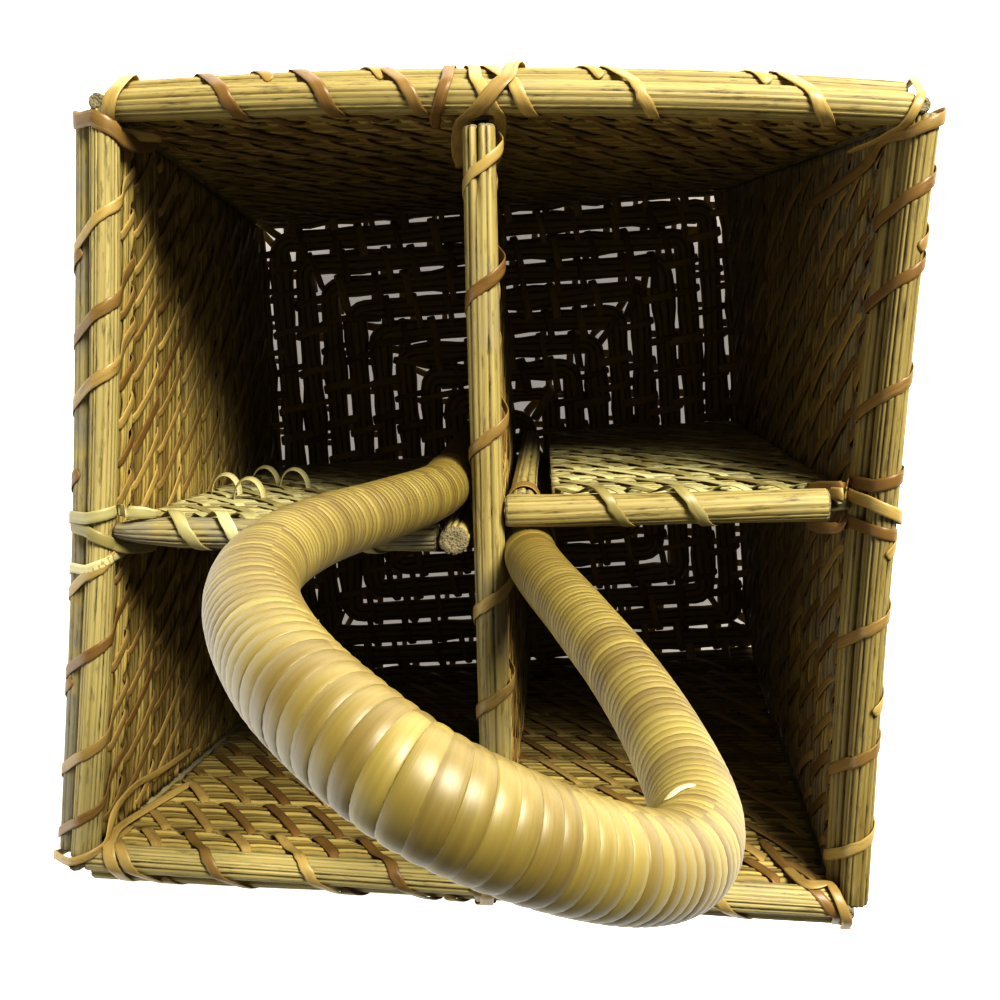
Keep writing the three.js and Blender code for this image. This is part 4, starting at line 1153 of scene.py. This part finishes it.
class CADDY_OT_rim(CaddyPiece, bpy.types.Operator):
    """Lays the rim reeds and ties them down with cane"""

    bl_idname = "caddy.rim"
    bl_label = "Rim"

    def execute(self, context):
        sizes, weave, colours, rng = self.settings(context, 23)
        ends = end_grain(colours)
        for panel in all_panels(sizes)[:4]:
            at = panel.side
            for (out, z, radius), place in zip(panel.reeds, ("outer", "inner")):
                block = reed_block(0, sizes, rng, on_side(at, -at.reed_end, out, z),
                                   on_side(at, at.reed_end, out, z), radius, REED_TONES[panel.name])
                worn = panel.name == "west" and place == "outer"
                skin = weathered_reed(colours) if worn else split_reed(colours)
                add_piece(f"reed_{panel.name}_{place}", [block], [skin, ends],
                          [f"rim_reed_{panel.name}_{place}"])
            add_piece(f"wraps_{panel.name}", top_wraps(panel, sizes, weave, rng), [flat_cane(colours)],
                      [f"rim_lacing_{panel.name}"])
        return {"FINISHED"}


class CADDY_OT_corners(CaddyPiece, bpy.types.Operator):
    """Stands the corner posts and lashes the rim over them"""

    bl_idname = "caddy.corners"
    bl_label = "Corners"

    def execute(self, context):
        sizes, weave, colours, rng = self.settings(context, 37)
        panels = {panel.name: panel for panel in all_panels(sizes)[:4]}
        stand = SEAT_GAP + sizes.reed / 2
        for name, lashings in CORNER_LASHINGS.items():
            y_side, x_side = (panels[word].side for word in name.split("_"))
            foot = (y_side.wall_end + stand) * x_side.out + (x_side.wall_end + stand) * y_side.out
            foot[2] = WALL_FOOT
            head = foot + UP * (RIM_TOP - WALL_FOOT)
            block = reed_block(0, sizes, rng, foot, head, sizes.reed / 2, flutes=POST_FLUTES,
                               taper=POST_TAPER)
            add_piece(f"post_{name}", [block], [weathered_reed(colours), end_grain(colours)],
                      [f"corner_post_{name}"])
            strips = []
            for lashing in lashings:
                strips += lashed(panels[lashing[0]], [lashing[1:]], sizes, weave, rng)
            add_piece(f"corner_strips_{name}", strips, [flat_cane(colours)],
                      [f"corner_lashing_{name}"])
        return {"FINISHED"}


class CADDY_OT_dividers(CaddyPiece, bpy.types.Operator):
    """Lays the dividers' rods, stands their stakes and ties them"""

    bl_idname = "caddy.dividers"
    bl_label = "Rods and stakes"

    def execute(self, context):
        sizes, weave, colours, rng = self.settings(context, 41)
        walls, dividers = all_panels(sizes)[:4], all_panels(sizes)[4:]
        inner_x, inner_y = inner_edges(sizes)
        posts = centre_posts(sizes)
        ends = {
            "long": (-inner_y + ROD_SETBACK, inner_y - SEAT_GAP),
            "east": (LONG_OFFSET + sizes.rod / 2 + SEAT_GAP, inner_x - EAST_ROD_SETBACK),
            "west": (-inner_x + SEAT_GAP, posts["west"] - sizes.reed / 2 - SEAT_GAP),
        }
        shapes = {"long": {"crack": LONG_ROD_CRACK}, "east": {}, "west": {"taper": WEST_ROD_TAPER}}
        for panel in dividers:
            start, end = ends[panel.name]
            out, z, radius = panel.reeds[0]
            block = reed_block(panel.turn, sizes, rng, on_side(panel.side, start, out, z),
                               on_side(panel.side, end, out, z), radius, ROD_TONES[panel.name],
                               **shapes[panel.name])
            skin = weathered_reed(colours) if panel.name == "west" else split_reed(colours)
            add_piece(f"rod_{panel.name}", [block], [skin, end_grain(colours)],
                      [f"divider_rod_{panel.name}"])
            cane = flat_cane if panel.name == "long" else bleached_cane
            add_piece(f"rod_wraps_{panel.name}", top_wraps(panel, sizes, weave, rng), [cane(colours)],
                      [f"divider_lacing_{panel.name}"])
        stakes = {"east": (EAST_OFFSET, DIVIDER_TOP, EAST_TURN), "west": (WEST_OFFSET, RIM_TOP, WEST_TURN)}
        for name, (y, top, turn) in stakes.items():
            block = reed_block(turn, sizes, rng, (posts[name], y, WALL_FOOT), (posts[name], y, top),
                               sizes.reed / 2, flutes=POST_FLUTES)
            add_piece(f"stake_{name}", [block], [split_reed(colours), end_grain(colours)],
                      [f"centre_post_{name}"])
        for panel in walls:
            strips = lashed(panel, END_LASHINGS[panel.name], sizes, weave, rng)
            cane = bleached_cane if panel.name == "west" else flat_cane
            add_piece(f"end_strips_{panel.name}", strips, [cane(colours)],
                      [f"end_lashing_{panel.name}"])
        return {"FINISHED"}


# The base's spiral: where it starts in turns, and its corners; stations on its straights and its end
COIL_START = -0.4
COIL_CORNER_RADIUS = 4.3 * MM
COIL_STATION = 6 * MM
END_STATIONS = 30
# Its bundle: strands round it, steps across each, how deep their creases are, its twists with their waves,
# and its tone
COIL_STRANDS = 9
COIL_STEPS = 4
COIL_CREASE = 0.08
COIL_TWISTS = [(0.25, 45 * MM), (0.2, 17 * MM)]
COIL_TONE = 0.4
# How far it swells and shrinks, in waves that leave more of it thin than thick
COIL_SWELL = 1.15 * MM
SWELL_RUNS = (3.1 * MM, 6.7 * MM, 13.3 * MM)
SWELL_SHARPNESS = 3
SWELL_BIAS = 1.4
# How far the opening off the middle reaches, and the share that it takes off the bundle's width
OPENING_REACH = 9 * MM
OPENING_SHARE = 0.45
# Room over the bundle for the stitches, and the least height of a stitch over the floor
STITCH_ROOM = 0.2 * MM
FLOOR_CLEARANCE = 0.02 * MM
# Stitches: where they begin, their pitch and stray, how far each moves on along the coil, and their widths
STITCH_START = 50 * MM
STITCH_PITCH = 14 * MM
STITCH_STRAY = 2.5 * MM
STITCH_RUN = 4 * MM
STITCH_WIDTHS = (0.8, 1.3)
# A stitch's way round, in shares of the coil's width inwards, its height, and its run along
STITCH_ROUND = np.array([(1.12, 0.62, 0), (0.95, 0.93, 0.1), (0.35, 1.0, 0.25), (-0.3, 0.97, 0.5),
                         (-0.56, 0.5, 0.7), (-0.3, 0.03, 0.8), (0.35, 0.0, 0.9), (0.9, 0.05, 1.0),
                         (1.12, 0.35, 1.0)])


def coil_route(sizes):
    """The base's square spiral: straight stretches joined by quarter arcs, from the middle outwards."""
    sides = all_sides(sizes)
    wall_x, wall_y = sides["east"].wall_axis, sides["north"].wall_axis
    turns = round(wall_x / sizes.coil_pitch)
    steps = [(COIL_START, 0)]
    for turn in range(1, turns + 1):
        steps += [(turn, 1 - turn), (turn, turn), (-turn, turn), (-turn, -turn)]
    steps.append((turns, -turns))
    corners = np.array(steps, float) * (wall_x / turns, wall_y / turns)
    route = [corners[:1]]
    quarter = np.radians(np.arange(0, 91, 22.5))
    for before, here, after in zip(corners, corners[1:], corners[2:]):
        arriving = (here - before) / np.linalg.norm(here - before)
        leaving = (after - here) / np.linalg.norm(after - here)
        centre = here + COIL_CORNER_RADIUS * (leaving - arriving)
        arc = centre + COIL_CORNER_RADIUS * (np.sin(quarter)[:, None] * arriving
                                             - np.cos(quarter)[:, None] * leaving)
        last = route[-1][-1]
        spans = max(int(np.linalg.norm(arc[0] - last) / COIL_STATION), 1)
        straight = last + (arc[0] - last) * np.linspace(0, 1, spans + 1)[1:-1, None]
        route += [straight, arc]
    last = route[-1][-1]
    route.append(last + (corners[-1] - last) * np.linspace(0, 1, END_STATIONS)[1:, None])
    flat = np.vstack(route)
    return np.column_stack([flat, np.zeros(len(flat))])


def coil_bundle(route, sizes, weave, rng):
    """The base's bundle: an oval of half-sine strands carried along the spiral and twisted slowly.

    Its width is the bundle's plus a swell, the hyperbolic tangent of three sines of the distance along,
    less a bell of the distance from the opening.
    """
    forward = unit(np.gradient(route, axis=0))
    right = np.cross(forward, UP)
    half_height = (COIL_TOP - STITCH_ROOM - weave.cane_thickness) / 2
    sides = COIL_STRANDS * COIL_STEPS
    lobes = np.sin(np.pi * (np.arange(sides) % COIL_STEPS) / COIL_STEPS) ** STRAND_POWER
    run = run_along(route)
    twist = sum(far * np.sin(run / wave) for far, wave in COIL_TWISTS)
    turn = np.arange(sides) / sides * 2 * np.pi + twist[:, None]
    reach = 1 - COIL_CREASE * (1 - lobes)
    waves = sum(np.sin(run / wave + rng.uniform(0, 6)) for wave in SWELL_RUNS) / 2
    width = sizes.coil_width + COIL_SWELL * np.tanh(SWELL_SHARPNESS * waves - SWELL_BIAS)
    from_opening = np.linalg.norm(route - np.array(BASE_OPENING), axis=1)
    width = width * (1 - OPENING_SHARE * np.exp(-(from_opening / OPENING_REACH) ** 2))
    across = -np.cos(turn) * reach * width[:, None] / 2
    height = weave.cane_thickness + half_height * (1 + np.sin(turn) * reach)
    points = route[:, None] + across[..., None] * right[:, None] + height[..., None] * UP
    # Painted shade in the creases between the bundle's strands
    crease = np.broadcast_to((1 - lobes) ** 2, height.shape)[None]
    return tubes(lean(points, sizes)[None], COIL_TONE, crease)


def coil_stitches(route, sizes, weave, rng):
    """Stitches round each turn's bundle and into the shoulder of the turn inside it."""
    places = np.arange(STITCH_START, run_along(route)[-1] - STITCH_RUN, STITCH_PITCH)
    places = places + rng.uniform(-STITCH_STRAY, STITCH_STRAY, len(places))
    at = at_distances(route, places)
    ahead = unit(at_distances(route, places + 1 * MM) - at_distances(route, places - 1 * MM))
    inward = -np.cross(ahead, UP)
    low = weave.cane_thickness / 2
    inwards = STITCH_ROUND[:, 0] * sizes.coil_width
    heights = low + STITCH_ROUND[:, 1] * (COIL_TOP - low - low)
    drift = (STITCH_ROUND[:, 2] - 0.5) * STITCH_RUN
    centres = (at[:, None] + inwards[None, :, None] * inward[:, None] + heights[None, :, None] * UP
               + drift[None, :, None] * ahead[:, None])
    faces = unit(centres - (at + UP * COIL_TOP / 2)[:, None])
    width = weave.cane_width * rng.uniform(*STITCH_WIDTHS, (len(places), 1)) * np.ones(len(STITCH_ROUND))
    stitches = ribbon(centres, faces, width, weave.cane_thickness, THIN_PROFILE)
    stitches[..., 2] = np.maximum(stitches[..., 2], FLOOR_CLEARANCE)
    return tubes(lean(stitches, sizes), rng.uniform(0, 1, len(places)))


class CADDY_OT_base(CaddyPiece, bpy.types.Operator):
    """Coils the base bundle and stitches its turns together"""

    bl_idname = "caddy.base"
    bl_label = "Base coil"

    def execute(self, context):
        sizes, weave, colours, rng = self.settings(context, 53)
        route = coil_route(sizes)
        add_piece("coil_base", [coil_bundle(route, sizes, weave, rng)], [reed_bundle(colours)],
                  ["base_coil"])
        add_piece("coil_stitches", [coil_stitches(route, sizes, weave, rng)], [flat_cane(colours)],
                  [])
        return {"FINISHED"}


# Bare pole: stations along it, and sides
POLE_STATIONS = 260
POLE_SIDES = 24
# Steps of the pole's curve from one key to the next, and half the step over which its way is measured
ROUTE_STEPS = 60
HALF_STEP = 0.5 * MM
# Stations of the winding to a turn, and how much painted shade each point of its section takes: a little at
# its edges, where the turns meet, and full on its underside against the pole
WINDING_STEPS = 28
WINDING_CREASES = [0.2, 0, 0, 0, 0, 0.2, 1, 1]
# Width of a turn of the winding for each unit of its pitch
TURN_OVERLAP = 1.14
# How far the turns stray along the pole, with the waves and starts of that in radians of winding
WINDING_STRAYS = [(0.08 * MM, 0.37, 0), (0.07 * MM, 0.83, 1)]
# The mean and the spread of its turns' tones
TURN_TONES = (0.5, 0.28)
# Where the winding's last end is tucked in: distance along the pole, degrees round it, length, width; how
# many degrees it turns, how far out it lies in shares of the winding, how far it bulges, its stations, and
# its tone
WINDING_END = (393.5 * MM, 315, 5 * MM, 1.5 * MM)
END_TURN = 30
END_STANDOFF = 0.8
END_BULGE = 0.4 * MM
END_STEPS = 12
END_TONE = 0.9
# Turns of the cane round a leg and its stake, and degrees from one station to the next
BINDING_TURNS = 3
BINDING_STEP = 12


def handle_route(sizes):
    """The pole's centre line: up the west leg, round the loop and down the east leg."""
    west = np.array(POLE_FEET["west"])
    east = np.array(POLE_FEET["east"])
    middle = (west + east) / 2
    turn = math.radians(HANDLE_TURN)
    along = np.array([math.cos(turn), math.sin(turn)])
    across = np.array([-math.sin(turn), math.cos(turn)])
    loop = [[*(middle + share * HANDLE_SPREAD * along + off * HANDLE_SPREAD * across),
             RIM_TOP + rise * HANDLE_RISE] for share, off, rise in LOOP_STATIONS]
    heights = [WALL_FOOT, RIM_TOP / 3, RIM_TOP * 2 / 3, RIM_TOP]
    keys = [[*west, z] for z in heights] + loop + [[*east, z] for z in heights[::-1]]
    samples = catmull_rom(np.array(keys), ROUTE_STEPS)
    run = run_along(samples)
    return SimpleNamespace(samples=samples, run=run, length=run[-1], across=np.array([*across, 0.0]))


def pole_frame(pole, distances):
    """The pole's centre at distances along it, and the two ways square to it there."""
    centre, ahead, behind = (at_distances(pole.samples, np.clip(distances + step, 0, pole.length))
                             for step in (0, HALF_STEP, -HALF_STEP))
    forward = unit(ahead - behind)
    aside = unit(pole.across - (forward @ pole.across)[..., None] * forward)
    return centre, aside, np.cross(forward, aside)


def on_pole(pole, distances, angles, radius):
    """Points so far along the pole, so far round it and so far from its centre line."""
    centre, aside, outward = pole_frame(pole, distances)
    return (centre + (radius * np.cos(angles))[..., None] * aside
            + (radius * np.sin(angles))[..., None] * outward)


def wound_strip(pole, sizes, rng):
    """The cane wound on the pole: a helix whose pitch grows from the rim to the top of the handle.

    Turns are counted by adding up distance over pitch. Each is as wide as the turns' spacing there, which
    is wider outside a bend than inside, plus an overlap.
    """
    above = np.flatnonzero(pole.samples[:, 2] > SLEEVE_FOOT)
    wound = pole.run[above]
    risen = np.clip((pole.samples[above, 2] - RIM_TOP) / HANDLE_RISE, 0, 1)
    pitch = sizes.foot_pitch + (sizes.crown_pitch - sizes.foot_pitch) * risen
    passed = np.concatenate([[0], np.cumsum(np.diff(wound) / ((pitch[1:] + pitch[:-1]) / 2))])
    turns = int(passed[-1])
    turn_count = np.linspace(0, turns, turns * WINDING_STEPS + 1)
    distance = np.interp(turn_count, passed, wound)
    angles = turn_count * 2 * np.pi
    strays = [far * np.sin(angles * wave + first) for far, wave, first in WINDING_STRAYS]
    strayed = distance + (strays[0] + strays[1])
    radius = sizes.pole / 2 + sizes.winding / 2
    half = np.interp(turn_count, passed, pitch) / 2
    centres = on_pole(pole, strayed, angles, radius)
    spacing = np.linalg.norm(on_pole(pole, distance + half, angles, radius)
                             - on_pole(pole, distance - half, angles, radius), axis=-1)
    faces = unit(centres - pole_frame(pole, strayed)[0])
    strip = ribbon(centres, faces, spacing * TURN_OVERLAP, sizes.winding, WOUND_PROFILE)
    block = tubes(strip[None], crease=np.tile(WINDING_CREASES, (1, len(turn_count), 1)))
    quads = len(block.sizes) - 2
    turn_tone = np.clip(rng.normal(*TURN_TONES, turns + 1), 0, 1)
    block.tone[:quads] = turn_tone[np.arange(quads) // (WINDING_STEPS * len(WOUND_PROFILE))]
    return block


def winding_tail(pole, sizes, weave):
    """The winding's last end, a short strip that bulges where it is tucked under a turn."""
    place, way_round, long, wide = WINDING_END
    share = np.linspace(-0.5, 0.5, END_STEPS)
    rise = sizes.pole / 2 + END_STANDOFF * sizes.winding + END_BULGE * np.cos(np.pi * share)
    distances = place + share * long
    centres = on_pole(pole, distances, np.radians(way_round + END_TURN * share), rise)
    faces = unit(centres - pole_frame(pole, distances)[0])
    strip = ribbon(centres, faces, np.full(len(share), wide), weave.cane_thickness)
    return tubes(strip[None], END_TONE)


def leg_strip(name, sizes, weave, rng):
    """Cane pulled tight in a few turns round a leg and the stake beside it.

    Towards each angle the cane touches whichever of the two reaches furthest that way.
    """
    y, turn = {"east": (EAST_OFFSET, EAST_TURN), "west": (WEST_OFFSET, WEST_TURN)}[name]
    stake = lean(np.array([centre_posts(sizes)[name], y, BINDING_HEIGHT]), sizes, turn)
    circles = np.array([(*POLE_FEET[name], sizes.pole / 2), (stake[0], stake[1], sizes.reed / 2)])
    angles = np.radians(np.arange(0, 360 * BINDING_TURNS + 1, BINDING_STEP))
    way = np.stack([np.cos(angles), np.sin(angles)], axis=1)
    touched = circles[np.argmax(way @ circles[:, :2].T + circles[:, 2], axis=1)]
    flat = touched[:, :2] + way * (touched[:, 2:] + weave.cane_thickness)
    rise = np.linspace(-1, 1, len(angles)) * BINDING_TURNS * weave.cane_width / 2
    centres = np.column_stack([flat, BINDING_HEIGHT + rise])
    faces = np.column_stack([way, np.zeros(len(way))])
    strip = ribbon(centres, faces, np.full(len(way), weave.cane_width), weave.cane_thickness)
    return tubes(strip[None], rng.uniform(0, 1, 1))


class CADDY_OT_handle(CaddyPiece, bpy.types.Operator):
    """Bends the pole, winds it with cane and ties its legs to the stakes"""

    bl_idname = "caddy.handle"
    bl_label = "Handle"

    def execute(self, context):
        sizes, weave, colours, rng = self.settings(context, 67)
        pole = handle_route(sizes)
        stations = np.linspace(0, pole.length, POLE_STATIONS)[:, None]
        angles = np.arange(POLE_SIDES) / POLE_SIDES * 2 * np.pi
        skin = on_pole(pole, *np.broadcast_arrays(stations, angles), sizes.pole / 2)
        add_piece("bent_pole", [tubes(skin[None])], [bare_pole(colours)], ["handle_pole"])
        add_piece("cane_winding", [wound_strip(pole, sizes, rng)], [wound_cane(colours)],
                  ["handle_winding", "handle_sleeve_west", "handle_sleeve_east"])
        add_piece("winding_end", [winding_tail(pole, sizes, weave)], [bleached_cane(colours)],
                  [])
        for name in POLE_FEET:
            add_piece(f"leg_strips_{name}", [leg_strip(name, sizes, weave, rng)], [flat_cane(colours)],
                      [f"leg_binding_{name}"])
        return {"FINISHED"}


# Lamps: name, place, what it points at, size across, and watts
LAMPS = [
    ("key", (0.5, 0.84, 0.88), (0, 0, 0.15), 0.45, 29),
    ("west_fill", (-1, -0.4, 0.42), (0, 0, 0.25), 1.0, 8),
]
# Floor: how far it reaches, how far it lies below the base, the distances from its middle between which
# it brightens out of its painted shade under the basket, and its glow in that painted shade and on open
# paper
FLOOR_REACH = 4.0
FLOOR_DROP = 0.3 * MM
PAINTED_SHADE_FROM = 0.1
PAINTED_SHADE_TO = 0.15
PAINTED_SHADE_GLOW = 0.36
PAPER_GLOW = 0.95
# Light from all round, and the photograph's deep shadows
ROOM_LIGHT = 0.12
PHOTO_GAMMA = 0.7


def lay_floor(scene):
    """Pale paper that glows like a lit sweep, with a painted shade: its glow is fainter right under the
    basket.
    """
    mesh = bpy.data.meshes.new("floor")
    square = ((-1, -1), (1, -1), (1, 1), (-1, 1))
    corners = [(x * FLOOR_REACH, y * FLOOR_REACH, -FLOOR_DROP) for x, y in square]
    mesh.from_pydata(corners, [], [(0, 1, 2, 3)])
    material, tree = new_material("pale_floor")
    place = add_node(tree, "ShaderNodeTexCoord").outputs["Object"]
    out = add_node(tree, "ShaderNodeVectorMath", {0: place}, operation="LENGTH").outputs["Value"]
    # Painted shade: the floor's glow is fainter right under the basket and full further out
    glow = add_node(tree, "ShaderNodeMapRange", {
        "Value": out, "From Min": PAINTED_SHADE_FROM, "From Max": PAINTED_SHADE_TO,
        "To Min": PAINTED_SHADE_GLOW, "To Max": PAPER_GLOW})
    shader = add_node(tree, "ShaderNodeBsdfPrincipled", {
        "Base Color": (0.9, 0.9, 0.9, 1), "Roughness": 0.9, "Emission Color": (1, 1, 1, 1),
        "Emission Strength": glow.outputs[0]})
    add_node(tree, "ShaderNodeOutputMaterial", {"Surface": shader.outputs[0]})
    mesh.materials.append(material)
    floor = bpy.data.objects.new("floor", mesh)
    scene.collection.objects.link(floor)


def light_studio(scene):
    """A dim white room and two soft square lamps."""
    scene.world = scene.world or bpy.data.worlds.new("studio")
    scene.world.use_nodes = True
    tree = scene.world.node_tree
    tree.nodes.clear()
    room = add_node(tree, "ShaderNodeBackground", {"Color": (1, 1, 1, 1), "Strength": ROOM_LIGHT})
    add_node(tree, "ShaderNodeOutputWorld", {"Surface": room.outputs[0]})
    for name, place, target, size, watts in LAMPS:
        lamp = bpy.data.lights.new(name, "AREA")
        lamp.size = size
        lamp.energy = watts
        lit = bpy.data.objects.new(name, lamp)
        lit.location = place
        lit.rotation_mode = "QUATERNION"
        lit.rotation_quaternion = (Vector(target) - Vector(place)).to_track_quat("-Z", "Y")
        scene.collection.objects.link(lit)


def place_camera(scene):
    """The camera where the photograph was taken from, and its deep shadows."""
    camera = bpy.data.objects.new("camera", bpy.data.cameras.new("camera"))
    camera.data.lens = CAMERA_LENS
    camera.data.sensor_width = CAMERA_SENSOR
    camera.data.clip_start = 5 * MM
    camera.location = CAMERA_PLACE
    camera.rotation_euler = [math.radians(turn) for turn in CAMERA_TURN]
    scene.collection.objects.link(camera)
    scene.camera = camera
    scene.view_settings.view_transform = "Standard"
    scene.view_settings.gamma = PHOTO_GAMMA


class CADDY_OT_stage(CaddyPiece, bpy.types.Operator):
    """Sets the pale floor, the soft lights and the photograph's camera"""

    bl_idname = "caddy.stage"
    bl_label = "Stage"

    def execute(self, context):
        lay_floor(context.scene)
        light_studio(context.scene)
        place_camera(context.scene)
        return {"FINISHED"}


OPERATORS = [CADDY_OT_base, CADDY_OT_panels, CADDY_OT_rim, CADDY_OT_corners, CADDY_OT_dividers,
             CADDY_OT_handle, CADDY_OT_stage]


class CADDY_PT_sidebar(bpy.types.Panel):
    """Lists the caddy's pieces and settings in the sidebar"""

    bl_idname = "CADDY_PT_sidebar"
    bl_label = "Woven caddy"
    bl_space_type = "VIEW_3D"
    bl_region_type = "UI"
    bl_category = "Caddy"

    def draw(self, context):
        for operator in OPERATORS:
            self.layout.operator(operator.bl_idname)
        for group in (context.scene.caddy_sizes, context.scene.caddy_weave, context.scene.caddy_colours):
            for name in group.bl_rna.properties.keys():
                if name not in ("rna_type", "name"):
                    self.layout.prop(group, name)


CLASSES = [CaddySizes, CaddyWeave, CaddyColours, *OPERATORS, CADDY_PT_sidebar]
GROUPS = {"caddy_sizes": CaddySizes, "caddy_weave": CaddyWeave, "caddy_colours": CaddyColours}


def register():
    """Makes the classes known and hangs the settings on the scene."""
    for kind in CLASSES:
        bpy.utils.register_class(kind)
    for name, kind in GROUPS.items():
        setattr(bpy.types.Scene, name, PointerProperty(type=kind))


def unregister():
    """Takes off what register put on, in the opposite order."""
    for name in GROUPS:
        delattr(bpy.types.Scene, name)
    for kind in reversed(CLASSES):
        bpy.utils.unregister_class(kind)


def main():
    """Makes every piece and the stage."""
    register()
    for operator in OPERATORS:
        family, name = operator.bl_idname.split(".")
        getattr(getattr(bpy.ops, family), name)()


if __name__ == "__main__":
    main()
